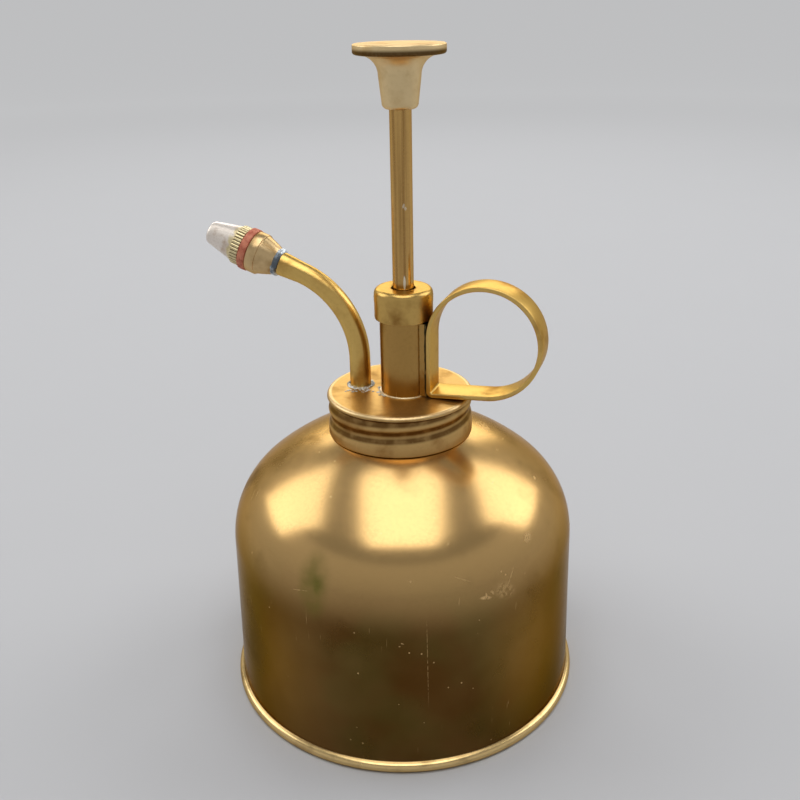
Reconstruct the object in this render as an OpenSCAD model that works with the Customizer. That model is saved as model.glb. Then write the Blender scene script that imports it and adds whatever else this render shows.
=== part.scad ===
// Hand-pump plant mister: a drawn bottle with a screw cap that carries the
// pump, a bent spout with a screw-on spray nozzle, and a finger ring.
// The bottle stands on z = 0 with its axis on Z. The spout points to -X and
// the finger ring to +X. Millimetres.

/* [Bottle] */
// Outside diameter of the rolled foot rim
rim_d = 90; // [74:1:110]
// Thickness of the rolled foot rim
rim_t = 2.6; // [2.2:0.1:3.4]
// How far the rim stands proud of the side wall
rim_proud = 1.3; // [0.8:0.1:2]
// Height at which the shoulder starts
side_h = 41.5; // [34:0.5:60]
// How much the wall narrows between the rim and the shoulder, on the radius
side_taper = 0.9; // [0:0.1:2]
// Radius of the bend from the side into the shoulder
bend_r = 22; // [16:1:28]
// Angle that this bend turns through
bend_turn = 50; // [45:1:56]
// Radius of the flatter crown between the bend and the neck
crown_r = 60; // [48:1:80]
// Thickness of the sheet that the bottle is drawn from
sheet_t = 0.6; // [0.4:0.05:0.8]
// Thickness of the base disc
base_t = 0.6; // [0.4:0.05:1]
// Outside diameter of the neck
neck_d = 32.6; // [27:0.2:40]
// Length of the straight neck
neck_h = 6.75; // [5:0.25:12]
// Radius of the small bend at the foot of the neck
neck_fillet = 0.6; // [0.4:0.1:1]

/* [Screw cap] */
// Wall thickness of the cap's skirt
cap_wall = 1.25; // [0.9:0.05:2]
// Thickness of the cap's top
cap_top_t = 1.1; // [0.8:0.1:2]
// How far the cap's top rim stands proud of its skirt
cap_rim_proud = 0.1; // [0.05:0.05:1]
// Height of the cap's top rim
cap_rim_h = 1.3; // [0.8:0.1:2]
// Depth of the two rolled grooves
cap_groove = 0.35; // [0.1:0.05:0.6]
// Thickness of the seal under the cap
seal_t = 1.5; // [1:0.1:3]
// Width of the seal's ring
seal_w = 2.2; // [1.5:0.1:2.5]

/* [Pump] */
// Distance from the bottle's axis to the pump's axis, towards the ring
pump_x = 1.35; // [0:0.05:2]
// Outside diameter of the pump barrel
barrel_d = 11.5; // [9.5:0.1:14]
// Wall thickness of the barrel
barrel_wall = 0.7; // [0.5:0.05:0.9]
// Wall thickness of the gland cap around the barrel
gland_wall = 1.09; // [0.9:0.01:1.6]
// Length of the gland cap, whose foot clears the finger ring
gland_h = 7.3; // [6.5:0.1:12]
// Thickness of the gland cap's crown
gland_crown_t = 1.4; // [1:0.1:2]
// Radius of the gland cap's top edge
gland_edge_r = 1.3; // [0.5:0.1:1.4]
// Gap around the rod where it enters the gland cap
rod_gap = 0.4; // [0.3:0.05:0.6]
// Thickness of the washer that guides the rod
guide_t = 1.6; // [1:0.1:3]
// Diameter of the plunger rod
rod_d = 4.9; // [4:0.1:5.9]
// Length of rod between the gland cap and the knob, with the plunger up
rod_out = 39.7; // [25:0.5:50]
// Air left between knob and gland cap with the plunger fully down
stroke_gap = 0.4; // [0.2:0.1:2]

/* [Thumb knob] */
// Diameter of the knob's flange
knob_d = 20; // [16:0.5:26]
// Thickness of the flange at its rounded edge
flange_t = 2.3; // [1.5:0.1:3]
// Overall height of the knob
knob_h = 13.3; // [12:0.1:18]
// Wall thickness at the foot of the knob, around the rod
knob_wall = 1.33; // [1:0.01:2]
// How much the stem swells, on the radius, before it flares
knob_swell = 0.85; // [0.3:0.05:1.5]

/* [Piston and spring] */
// Diameter of the threaded tail that holds the piston together
tail_d = 2.6; // [2:0.1:3]
// Thickness of the backing plate
plate_t = 1.5; // [1:0.1:3]
// Thickness of the cup's flat
cup_t = 1.2; // [0.8:0.1:2]
// Length of the cup's lip
cup_lip = 4.8; // [3:0.1:7]
// Wall thickness of the cup's lip
cup_wall = 0.6; // [0.4:0.05:0.8]
// Thickness of the clamp washer
clamp_t = 1; // [0.6:0.1:2]
// Height of the piston nut
nut_h = 2.4; // [1.5:0.1:3]
// Wire diameter of the return spring
wire_d = 0.8; // [0.6:0.05:0.9]
// Gap between the return spring and the cup's lip
spring_gap = 0.4; // [0.3:0.05:0.5]
// Number of turns of the return spring
spring_turns = 9.5; // [6:0.5:10]

/* [Valve body] */
// Wall thickness of the valve body around the barrel
valve_wall = 0.83; // [0.6:0.01:1.5]
// Depth of the socket that the barrel sits in
barrel_socket = 4; // [3:0.5:6]
// Thickness of the perforated disc under the spring
disc_t = 1; // [0.6:0.1:2]
// Diameter of the inlet ball
inlet_ball_d = 5; // [4:0.1:5.4]
// How far each ball can lift off its seat
ball_lift = 1.2; // [0.8:0.1:2]
// Outside diameter of the dip tube
dip_d = 4.6; // [4:0.1:5.2]
// Bore of the dip tube
dip_bore = 3.4; // [2.4:0.1:3.6]
// Height of the strainer above the bottle's floor
strainer_lift = 2; // [1.5:0.1:5]
// Length of the strainer
strainer_h = 6; // [5:0.5:10]

/* [Spout] */
// Gap between the foot of the spout and the seal's inner edge
spout_inset = 1.25; // [1:0.05:1.6]
// Outside diameter of the spout tube
spout_d = 5.1; // [4.2:0.1:6.2]
// Wall thickness of the spout tube
spout_wall = 0.8; // [0.6:0.05:1]
// How much the tube widens, on the radius, before it enters the nozzle
spout_swell = 0.3; // [0.1:0.05:0.4]
// Straight height of the tube above the screw cap
spout_rise = 6.9; // [4:0.1:20]
// Bend radius of the tube
spout_bend_r = 21.5; // [14:0.5:30]
// Angle that the tube bends through
spout_turn = 70.3; // [40:0.1:90]
// Straight length between the bend and the nozzle
spout_end = 6.6; // [6:0.5:20]

/* [Nozzle] */
// Length of the nozzle body's tapered back
taper_h = 4.1; // [3.5:0.1:8]
// Wall thickness of the taper at the tube
taper_wall = 0.48; // [0.3:0.02:1]
// Diameter of the taper at its front
taper_d1 = 9.7; // [9:0.1:11]
// Length of the nozzle body's front band
band_h = 2.5; // [1.5:0.1:4]
// Diameter of the front band
band_d = 10.1; // [9.4:0.1:12]
// Thickness of the fibre washer
fibre_t = 1.9; // [1:0.1:2.5]
// Diameter of the fibre washer
fibre_d = 10.6; // [9.4:0.1:12]
// Width of the knurled band
knurl_h = 2.4; // [2:0.1:5]
// Diameter of the knurled band
knurl_d = 9.7; // [9:0.1:12]
// Number of grooves in the knurled band
knurl_n = 36; // [24:2:48]
// Depth of the knurl's grooves
knurl_depth = 0.25; // [0.1:0.05:0.4]
// Length of the nozzle cap's cone
cone_h = 7.8; // [6.5:0.1:12]
// Diameter of the cone at its front, before the rounded tip
cone_tip_d = 5.8; // [5:0.1:7]
// Radius of the rounded tip
cone_tip_r = 1.1; // [0.6:0.1:1.4]
// Diameter of the spray hole
spray_d = 0.8; // [0.5:0.1:1.2]
// Diameter of the spigot that the nozzle cap screws on
spigot_d = 6.4; // [6:0.1:7]
// Length of the spigot in front of the band
spigot_h = 6.2; // [5:0.1:7]
// Bore of the spigot
spigot_bore = 3.2; // [2.6:0.1:4]
// Length of the swirl core
swirl_h = 4; // [2:0.1:5]

/* [Finger ring] */
// Width of the strap
strap_w = 7; // [5:0.5:10]
// Thickness of the strap
strap_t = 1.1; // [0.8:0.1:1.4]
// Outside diameter of the ring
ring_d = 27.4; // [22:0.1:36]
// Height of the ring's underside above the cap, at its lowest point
ring_lift = 0.9; // [0:0.1:2]
// Gap between the strap's leg and the barrel
leg_gap = 0.7; // [0.05:0.05:0.8]
// Outer radius of the bend at the strap's foot
strap_bend_r = 1.6; // [1.2:0.1:2]

/* [Fits] */
// Radial clearance of the screwed and sliding fits
running_fit = 0.06; // [0.02:0.01:0.1]
// Gap left between faces that part when something is unscrewed
face_gap = 0.03; // [0.01:0.01:0.1]
// Radial gap of the soldered joints
solder_fit = 0.02; // [0.01:0.01:0.05]
// Lift of each valve ball off its seat at rest
ball_gap = 0.1; // [0.05:0.05:0.3]

/* [Hidden] */
$fn = 96;
cut = 0.5; // how far a cutter runs past the face that it opens

// Bottle
rim_r = rim_t / 2;
rim_z = rim_r - 0.05; // flattens the rim's underside a little
rim_c = rim_d / 2 - rim_r;
wall_r = rim_d / 2 - rim_proud;
side_r = wall_r - side_taper;
neck_r = neck_d / 2;
bend_c = [side_r - bend_r, side_h];
crown_c = bend_c + (bend_r - crown_r) * [cos(bend_turn), sin(bend_turn)];
neck_turn = acos((neck_r + neck_fillet - crown_c[0]) / (crown_r + neck_fillet));
fillet_c = crown_c + (crown_r + neck_fillet) * [cos(neck_turn), sin(neck_turn)];
neck_foot = fillet_c[1];
neck_top = neck_foot + neck_h;
base_z = rim_z - base_t / 2;
base_r = rim_c - 0.4;
floor_z = base_z + base_t;

// Screw cap
cap_bore_r = neck_r + running_fit;
cap_r = cap_bore_r + cap_wall;
cap_z0 = neck_foot + 0.1;
seal_z = neck_top + face_gap;
cap_inside = seal_z + seal_t + face_gap;
cap_top = cap_inside + cap_top_t;
seal_r = neck_r - 0.1;

// Finger ring
barrel_r = barrel_d / 2;
ring_r = ring_d / 2;
leg_x = pump_x + barrel_r + leg_gap;
ring_x = leg_x + ring_r;
ring_z = cap_top + ring_lift + ring_r;
strap_turn = atan(1 + ring_lift / ring_r); // from the ring's centre down to the strap's corner

// Gland cap: its foot sits where the ring has curved away from the barrel
gland_r = barrel_r + running_fit + gland_wall;
gland_gap = 0.12;
gland_reach = gland_r + gland_gap - barrel_r - leg_gap;
gland_z0 = ring_z + sqrt(2 * ring_r * gland_reach - gland_reach * gland_reach);
gland_top = gland_z0 + gland_h;
guide_z = gland_top - gland_crown_t - guide_t;

// Pump, from the top of the barrel downwards
barrel_bore_r = barrel_r - barrel_wall;
rod_r = rod_d / 2;
knob_z = gland_top + rod_out;
stroke = rod_out - stroke_gap;
top_gap = 0.5; // between the piston and the rod guide, with the plunger up
plate_z = guide_z - top_gap - plate_t;
cup_z = plate_z - cup_t;
clamp_z = cup_z - clamp_t;
nut_z = clamp_z - nut_h;
tail_r = tail_d / 2;
tail_z = nut_z - 0.6;
cup_r = barrel_bore_r - 0.04;
clamp_r = cup_r - cup_wall - 0.1;
wire_r = wire_d / 2;
spring_r = cup_r - cup_wall - spring_gap - wire_r;
spring_solid = (spring_turns + 1) * wire_d;
spring_spare = 1.2; // what is left of the spring's travel, with the plunger down
spring_z = clamp_z - stroke - spring_solid - spring_spare;
nut_r = spring_r - wire_r - 0.3;
barrel_z = spring_z - disc_t;
vent_d = 0.8;
vent_r = barrel_bore_r - vent_d / 2 - 0.15; // distance of the vent from the rod's axis
vent_turn = -45;

// Valve body, from the barrel's foot downwards
inlet_r = inlet_ball_d / 2;
inlet_chamber_r = inlet_r + 0.5;
inlet_hole_r = inlet_r * 0.64;
seat_turn = 45; // slope of both ball seats
seat_h = inlet_chamber_r - inlet_hole_r;
inlet_ball_z = barrel_z - ball_lift - ball_gap - inlet_r;
inlet_seat_z = inlet_ball_z - ball_gap - inlet_r / sin(seat_turn) + inlet_hole_r;
dip_r = dip_d / 2;
dip_top = inlet_seat_z - 3;
dip_socket = 4; // depth of the socket that the dip tube sits in
valve_z = dip_top - dip_socket;
shoulder_z = inlet_seat_z - 1.5;
strainer_z = floor_z + strainer_lift;
strainer_wall = 0.6;
dip_z = strainer_z + strainer_h / 2;
spout_r = spout_d / 2;
spout_bore_r = spout_r - spout_wall;
spout_x = seal_r - seal_w - spout_inset - spout_r;
outlet_r = spout_bore_r + 0.25;
outlet_chamber_r = outlet_r + 0.35;
outlet_hole_r = outlet_r * 0.6;
outlet_seat_h = outlet_chamber_r - outlet_hole_r;
port_z = inlet_ball_z + inlet_r * 0.5;
port_r = 1.1;
outlet_seat_z = port_z + port_r + 0.4;
outlet_ball_z = outlet_seat_z - outlet_hole_r + outlet_r / sin(seat_turn) + ball_gap;
boss_wall = 1.3;
boss_r = spout_r + boss_wall;
tube_z = outlet_ball_z + outlet_r + ball_lift + ball_gap;
boss_top = tube_z + 4;

// Spout and nozzle: s is the distance along the nozzle from the tube joint
spout_start = cap_top + spout_rise;
spout_dir = [-sin(spout_turn), 0, cos(spout_turn)];
spout_c = [-spout_x - spout_bend_r, 0, spout_start];
spout_bend_end = spout_c + spout_bend_r * [cos(spout_turn), 0, sin(spout_turn)];
nozzle_at = spout_bend_end + spout_end * spout_dir;
spout_end_r = spout_r + spout_swell;
tube_in_nozzle = 3; // how far the tube enters the nozzle
taper_r0 = spout_end_r + solder_fit + taper_wall;
s_band = taper_h;
s_washer = s_band + band_h;
s_knurl = s_washer + fibre_t + 2 * face_gap;
s_cone = s_knurl + knurl_h;
s_tip = s_cone + cone_h;
s_spigot = s_washer + spigot_h;
spigot_r = spigot_d / 2;

// Thumb knob
knob_top = knob_z + knob_h;
rod_top = knob_top - 3;

function arc(c, r, a0, a1, n) =
    [for (i = [0:n]) let (a = a0 + (a1 - a0) * i / n) c + r * [cos(a), sin(a)]];
function reversed(p) = [for (i = [len(p) - 1:-1:0]) p[i]];

// Half section of the bottle's skin, set in from the outside by d
function skin(d) = concat(
    [[wall_r - d, rim_z]],
    arc(bend_c, bend_r - d, 0, bend_turn, 12),
    arc(crown_c, crown_r - d, bend_turn, neck_turn, 8),
    arc(fillet_c, -(neck_fillet + d), neck_turn, 0, 4),
    [[neck_r - d, neck_top]]
);

module ring(r_out, r_in, z, h) {
    translate([0, 0, z]) difference() {
        cylinder(r = r_out, h = h);
        translate([0, 0, -cut]) cylinder(r = r_in, h = h + 2 * cut);
    }
}

module on_pump() {
    translate([pump_x, 0, 0]) children();
}

module on_nozzle() {
    translate(nozzle_at) rotate([0, -spout_turn, 0]) children();
}

module bottle_shell() {
    color("darkgoldenrod") difference() {
        union() {
            rotate_extrude() polygon(concat(skin(0), reversed(skin(sheet_t))));
            rotate_extrude() intersection() {
                translate([rim_c, rim_z]) circle(r = rim_r);
                translate([rim_c - rim_t, 0]) square([2 * rim_t, rim_t]);
            }
        }
        translate([0, 0, base_z]) cylinder(r = base_r, h = base_t);
    }
}

module base_disc() {
    color("goldenrod") translate([0, 0, base_z]) cylinder(r = base_r, h = base_t);
}

module cap_seal() {
    color("dimgray") ring(seal_r, seal_r - seal_w, seal_z, seal_t);
}

// Half section of the cap, with the rolled grooves in its skirt
module cap_section() {
    rim_out = cap_r + cap_rim_proud;
    groove_r = cap_r - cap_groove;
    skirt_h = cap_top - cap_rim_h - cap_z0;
    polygon(concat(
        [[0, cap_inside], [cap_bore_r, cap_inside]],
        [[cap_bore_r, cap_z0 + 0.3], [cap_bore_r + 0.3, cap_z0]],
        [[cap_r - 0.2, cap_z0], [cap_r, cap_z0 + 0.2], [cap_r, cap_z0 + 0.28 * skirt_h]],
        [[groove_r, cap_z0 + 0.36 * skirt_h], [groove_r, cap_z0 + 0.62 * skirt_h]],
        [[cap_r, cap_z0 + 0.70 * skirt_h], [cap_r, cap_z0 + 0.80 * skirt_h]],
        [[groove_r, cap_z0 + 0.87 * skirt_h], [groove_r, cap_z0 + 0.94 * skirt_h]],
        arc([rim_out - cap_rim_h / 2, cap_top - cap_rim_h / 2], cap_rim_h / 2, -60, 90, 8),
        [[0, cap_top]]
    ));
}

module screw_cap() {
    color("peru") difference() {
        rotate_extrude() cap_section();
        on_pump() translate([0, 0, cap_inside - cut])
            cylinder(r = barrel_r + solder_fit, h = cap_top_t + 2 * cut);
        translate([-spout_x, 0, cap_inside - cut])
            cylinder(r = spout_r + solder_fit, h = cap_top_t + 2 * cut);
    }
}

module pump_barrel() {
    color("darkgoldenrod") on_pump()
        ring(barrel_r, barrel_bore_r, barrel_z, guide_z - barrel_z);
}

module gland_cap() {
    bead = 0.06;
    bead_top = gland_top - gland_edge_r;
    color("goldenrod") on_pump() difference() {
        rotate_extrude() polygon(concat(
            [[0, gland_z0], [gland_r - 0.3, gland_z0], [gland_r, gland_z0 + 0.3]],
            [[gland_r, bead_top - 2.1], [gland_r + bead, bead_top - 1.9]],
            [[gland_r + bead, bead_top - 0.4], [gland_r, bead_top - 0.1]],
            arc([gland_r - gland_edge_r, bead_top], gland_edge_r, 0, 90, 8),
            [[0, gland_top]]
        ));
        translate([0, 0, gland_z0 - cut])
            cylinder(r = barrel_r + running_fit, h = gland_h - gland_crown_t + cut);
        translate([0, 0, gland_z0]) cylinder(r = rod_r + rod_gap, h = gland_h + cut);
        vent();
    }
}

module vent() {
    rotate([0, 0, vent_turn]) translate([vent_r, 0, guide_z - cut])
        cylinder(d = vent_d, h = guide_t + gland_crown_t + 2 * cut, $fn = 24);
}

module rod_guide() {
    color("saddlebrown") on_pump() difference() {
        ring(barrel_r, rod_r + running_fit, guide_z, guide_t);
        vent();
    }
}

// Outline of the strap, set in by d: a circle with a corner on its lower left,
// where the strap's leg on the barrel meets its foot on the cap
module strap_outline(d) {
    r = ring_r - d;
    bend = max(strap_bend_r - d, 0.1);
    foot_turn = 2 * strap_turn - 90; // slope of the foot
    corner = -(r - bend) * [1, tan(strap_turn)];
    circle(r = r);
    polygon(concat(
        [[0, 0], [-r, 0]],
        arc(corner, bend, 180, 270 + foot_turn, 8),
        [r * [sin(foot_turn), -cos(foot_turn)]]
    ));
}

module finger_ring() {
    color("gold") translate([ring_x, strap_w / 2, ring_z]) rotate([90, 0, 0])
        linear_extrude(height = strap_w) difference() {
            strap_outline(0);
            strap_outline(strap_t);
        }
}

// The tube's path as a solid; past is how far it runs on at both ends. The
// straight ends run a little way into the bend, which is a hair thicker.
module spout_shape(r_foot, r_end, past) {
    flare = spout_end - 2;
    into = 0.3;
    translate([-spout_x, 0, tube_z - past])
        cylinder(r = r_foot, h = spout_start - tube_z + past + into);
    translate(spout_c) rotate([90, 0, 0])
        rotate_extrude(angle = spout_turn) translate([spout_bend_r, 0]) circle(r = r_foot + 0.01);
    translate(spout_bend_end) rotate([0, -spout_turn, 0]) {
        translate([0, 0, -into]) cylinder(r = r_foot, h = into + 0.1);
        cylinder(r1 = r_foot, r2 = r_end, h = flare);
        translate([0, 0, flare])
            cylinder(r = r_end, h = spout_end - flare + tube_in_nozzle + past);
    }
}

// The tube's foot is slotted so that a lifted ball can't shut it
module spout_tube() {
    slot_w = 1;
    slot_h = 1.2;
    color("gold") difference() {
        spout_shape(spout_r, spout_end_r, 0);
        spout_shape(spout_bore_r, spout_bore_r, cut);
        translate([-spout_x, 0, tube_z + slot_h / 2 - cut / 2])
            cube([2 * spout_r + 1, slot_w, slot_h + cut], center = true);
    }
}

module nozzle_body() {
    color("darkgoldenrod") on_nozzle() difference() {
        union() {
            cylinder(r1 = taper_r0, r2 = taper_d1 / 2, h = taper_h);
            translate([0, 0, s_band]) cylinder(d = band_d, h = band_h);
            translate([0, 0, s_washer]) cylinder(r = spigot_r, h = spigot_h);
        }
        translate([0, 0, -cut]) cylinder(r = spout_end_r + solder_fit, h = tube_in_nozzle + cut);
        cylinder(d = spigot_bore, h = s_spigot + cut);
    }
}

// A grooved slug that spins the water before it reaches the spray hole
module swirl_core() {
    core_r = spigot_bore / 2 - 0.02;
    groove = 0.9;
    color("silver") on_nozzle() translate([0, 0, s_spigot - swirl_h + 0.2]) difference() {
        cylinder(r = core_r, h = swirl_h);
        for (side = [-1, 1]) rotate([0, 0, 90 + 90 * side])
            translate([core_r, 0, swirl_h / 2]) rotate([20, 0, 0])
                cube([groove, groove, 2 * swirl_h], center = true);
    }
}

module nozzle_washer() {
    color("indianred") on_nozzle()
        ring(fibre_d / 2, spigot_r + running_fit, s_washer + face_gap, fibre_t);
}

module nozzle_cap() {
    room = s_spigot + 0.5; // inner end of the threaded bore
    room_r = spigot_r + running_fit;
    knurl_r = knurl_d / 2;
    cone_r = knurl_r - knurl_depth - 0.15;
    swirl_room = 1.5;
    color("rosybrown") on_nozzle() difference() {
        rotate_extrude() polygon(concat(
            [[0, s_knurl], [knurl_r - 0.2, s_knurl], [knurl_r, s_knurl + 0.2]],
            [[knurl_r, s_cone - 0.2], [knurl_r - 0.2, s_cone], [cone_r, s_cone]],
            arc([cone_tip_d / 2 - cone_tip_r, s_tip - cone_tip_r], cone_tip_r, 15, 90, 6),
            [[0, s_tip]]
        ));
        translate([0, 0, s_knurl - cut]) cylinder(r = room_r, h = room - s_knurl + cut);
        translate([0, 0, room]) cylinder(r1 = room_r - 0.6, r2 = spray_d / 2, h = s_tip - swirl_room - room);
        translate([0, 0, room]) cylinder(d = spray_d, h = s_tip - room + cut, $fn = 24);
        for (i = [0:knurl_n - 1]) rotate([0, 0, i * 360 / knurl_n])
            translate([knurl_r, 0, s_knurl - cut])
                cylinder(r = knurl_depth, h = knurl_h + 2 * cut, $fn = 4);
    }
}

module valve_body() {
    arm_w = 6;
    arm_z = port_z - 2.2;
    color("darkgoldenrod") difference() {
        union() {
            on_pump() translate([0, 0, shoulder_z])
                cylinder(r = barrel_r + solder_fit + valve_wall, h = barrel_z + barrel_socket - shoulder_z);
            on_pump() translate([0, 0, valve_z])
                cylinder(r = dip_r + boss_wall, h = shoulder_z - valve_z);
            translate([-spout_x, 0, arm_z]) cylinder(r = boss_r, h = boss_top - arm_z);
            translate([-spout_x, -arm_w / 2, arm_z]) cube([spout_x + pump_x, arm_w, 5]);
        }
        on_pump() {
            translate([0, 0, barrel_z]) cylinder(r = barrel_r + solder_fit, h = barrel_socket + cut);
            translate([0, 0, inlet_seat_z + seat_h])
                cylinder(r = inlet_chamber_r, h = barrel_z - inlet_seat_z - seat_h + cut);
            translate([0, 0, inlet_seat_z])
                cylinder(r1 = inlet_hole_r, r2 = inlet_chamber_r, h = seat_h);
            translate([0, 0, valve_z]) cylinder(r = inlet_hole_r, h = inlet_seat_z - valve_z + 0.1);
            translate([0, 0, valve_z - cut]) cylinder(r = dip_r + solder_fit, h = dip_socket + cut);
        }
        translate([-spout_x, 0, port_z]) rotate([0, 90, 0])
            cylinder(r = port_r, h = spout_x + pump_x);
        translate([-spout_x, 0, 0]) {
            translate([0, 0, port_z]) cylinder(r = outlet_hole_r, h = outlet_seat_z - port_z + 0.1);
            translate([0, 0, outlet_seat_z])
                cylinder(r1 = outlet_hole_r, r2 = outlet_chamber_r, h = outlet_seat_h);
            translate([0, 0, outlet_seat_z + outlet_seat_h])
                cylinder(r = outlet_chamber_r, h = tube_z - outlet_seat_z - outlet_seat_h);
            translate([0, 0, tube_z]) cylinder(r = spout_r + solder_fit, h = boss_top - tube_z + cut);
        }
    }
}

module spring_disc() {
    holes = 4;
    color("goldenrod") on_pump() difference() {
        translate([0, 0, barrel_z]) cylinder(r = barrel_bore_r - solder_fit, h = disc_t);
        for (i = [0:holes - 1]) rotate([0, 0, i * 360 / holes])
            translate([2.1, 0, barrel_z - cut]) cylinder(r = 0.9, h = disc_t + 2 * cut);
    }
}

module inlet_ball() {
    color("silver") on_pump() translate([0, 0, inlet_ball_z]) sphere(r = inlet_r);
}

module outlet_ball() {
    color("silver") translate([-spout_x, 0, outlet_ball_z]) sphere(r = outlet_r);
}

module dip_tube() {
    color("gold") on_pump() ring(dip_r, dip_bore / 2, dip_z, dip_top - dip_z);
}

module strainer() {
    slots = 3;
    slot_w = 0.9;
    sleeve_r = dip_r + solder_fit;
    color("goldenrod") on_pump() difference() {
        translate([0, 0, strainer_z]) cylinder(r = sleeve_r + strainer_wall, h = strainer_h);
        translate([0, 0, strainer_z + strainer_wall]) cylinder(r = sleeve_r, h = strainer_h);
        for (i = [0:slots - 1]) rotate([0, 0, i * 180 / slots])
            translate([0, 0, strainer_z + strainer_h / 4])
                cube([4 * dip_r, slot_w, strainer_h / 4], center = true);
    }
}

// Height of the spring's wire after u turns: the end turns are closed
function coil_z(u) =
    let (span = clamp_z - spring_z - wire_d - 2 * face_gap, open = (span - 2 * wire_d) / (spring_turns - 2))
    u < 1 ? wire_d * u
    : u > spring_turns - 1 ? span - wire_d * (spring_turns - u)
    : wire_d + open * (u - 1);

module return_spring() {
    sides = 8;
    steps = 16 * spring_turns;
    points = [for (i = [0:steps], j = [0:sides - 1])
        let (u = i / 16, a = 360 * u, b = 360 * j / sides, r = spring_r + wire_r * cos(b))
        [r * cos(a), r * sin(a), coil_z(u) + wire_r * (1 + sin(b))]];
    walls = [for (i = [0:steps - 1], j = [0:sides - 1])
        let (k = (j + 1) % sides)
        [i * sides + j, (i + 1) * sides + j, (i + 1) * sides + k, i * sides + k]];
    first = [for (j = [0:sides - 1]) j];
    last = [for (j = [sides - 1:-1:0]) steps * sides + j];
    color("silver") on_pump() translate([0, 0, spring_z + face_gap])
        polyhedron(points = points, faces = concat(walls, [first, last]));
}

module plunger_rod() {
    rod_z = plate_z + plate_t;
    color("goldenrod") on_pump() {
        translate([0, 0, rod_z]) cylinder(r = rod_r, h = rod_top - rod_z);
        translate([0, 0, tail_z]) cylinder(r = tail_r, h = rod_z - tail_z + 1);
    }
}

module thumb_knob() {
    edge_r = flange_t / 2;
    hole_r = rod_r + solder_fit;
    foot_r = hole_r + knob_wall;
    stem_r = foot_r + knob_swell;
    flare_r = knob_d / 2 - edge_r - stem_r - 0.1;
    flare_z = knob_top - flange_t - flare_r;
    color("tan") on_pump() difference() {
        rotate_extrude() polygon(concat(
            [[0, knob_z]],
            arc([foot_r - 0.6, knob_z + 0.6], 0.6, -90, 0, 4),
            arc([stem_r + flare_r, flare_z], flare_r, 180, 90, 10),
            arc([knob_d / 2 - edge_r, knob_top - edge_r], edge_r, -90, 90, 10),
            [[0, knob_top]]
        ));
        translate([0, 0, knob_z - cut]) cylinder(r = hole_r, h = rod_top - knob_z + cut);
    }
}

module piston_plate() {
    color("goldenrod") on_pump() ring(barrel_bore_r - 0.1, tail_r, plate_z, plate_t);
}

module piston_cup() {
    color("saddlebrown") on_pump() difference() {
        translate([0, 0, cup_z - cup_lip]) cylinder(r = cup_r, h = cup_lip + cup_t);
        translate([0, 0, cup_z - cup_lip - cut]) cylinder(r = cup_r - cup_wall, h = cup_lip + cut);
        translate([0, 0, cup_z - cut]) cylinder(r = tail_r, h = cup_t + 2 * cut);
    }
}

module clamp_washer() {
    color("silver") on_pump() ring(clamp_r, tail_r, clamp_z, clamp_t);
}

module piston_nut() {
    color("silver") on_pump() translate([0, 0, nut_z]) difference() {
        cylinder(r = nut_r, h = nut_h, $fn = 6);
        translate([0, 0, -cut]) cylinder(r = tail_r, h = nut_h + 2 * cut);
    }
}

bottle_shell();
base_disc();
cap_seal();
screw_cap();
pump_barrel();
gland_cap();
rod_guide();
finger_ring();
spout_tube();
nozzle_body();
swirl_core();
nozzle_washer();
nozzle_cap();
valve_body();
spring_disc();
inlet_ball();
outlet_ball();
dip_tube();
strainer();
return_spring();
plunger_rod();
thumb_knob();
piston_plate();
piston_cup();
clamp_washer();
piston_nut();
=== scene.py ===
"""Looks of an aged brass plant mister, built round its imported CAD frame.

Every sub-assembly is a class with its sizes in millimetres. Its build method
models the pieces that show and dresses them, and hands each to the body that
it rides on. Pieces that stay hidden keep their CAD shape and get a finish.
"""

from __future__ import annotations

import logging
import math
from collections.abc import Callable, Iterator, Mapping, Sequence
from contextlib import contextmanager
from dataclasses import dataclass, field
from enum import Enum
from random import Random

import bpy
from mathutils import Matrix, Vector

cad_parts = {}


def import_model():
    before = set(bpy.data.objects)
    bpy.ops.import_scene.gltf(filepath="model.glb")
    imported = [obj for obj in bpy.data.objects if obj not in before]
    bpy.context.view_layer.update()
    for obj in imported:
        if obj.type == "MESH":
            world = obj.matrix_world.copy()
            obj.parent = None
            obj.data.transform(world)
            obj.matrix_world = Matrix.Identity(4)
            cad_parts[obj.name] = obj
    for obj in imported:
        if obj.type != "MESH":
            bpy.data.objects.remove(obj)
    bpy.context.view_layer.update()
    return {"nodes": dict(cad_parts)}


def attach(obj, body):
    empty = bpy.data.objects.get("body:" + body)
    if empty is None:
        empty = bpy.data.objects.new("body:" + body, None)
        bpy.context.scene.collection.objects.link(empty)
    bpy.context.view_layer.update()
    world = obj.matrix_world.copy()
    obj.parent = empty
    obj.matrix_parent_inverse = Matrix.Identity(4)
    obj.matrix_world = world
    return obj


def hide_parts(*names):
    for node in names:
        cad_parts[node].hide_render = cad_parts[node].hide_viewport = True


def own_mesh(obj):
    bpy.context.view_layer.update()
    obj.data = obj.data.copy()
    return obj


MM = 0.001
MERGE_NEAR = 1e-6
ON_VECTOR = 1000.0
DRAWN_SCALE = (620, 620, 9)
LOG = logging.getLogger("mister")

Piece = bpy.types.Object
Point = tuple[float, float]
Point3 = tuple[float, float, float]
Colour = tuple[float, float, float]


class Body(Enum):
    """The CAD bodies that pieces ride on."""

    BOTTLE = "bottle"
    SEAL = "seal"
    HEAD = "head"
    PLUNGER = "plunger"
    FIBRE_WASHER = "fibre_washer"
    NOZZLE = "nozzle"


class Slot(Enum):
    """The record's material slots, named for new pieces but not given to them."""

    BODY = "body_brass"
    CAP = "cap_brass"
    PUMP = "pump_brass"
    TRIM = "trim_brass"
    ROD = "rod_brass"
    KNOB = "knob_brass"
    NICKEL = "nickel"
    STEEL = "steel"
    FIBRE = "red_fibre"


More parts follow.
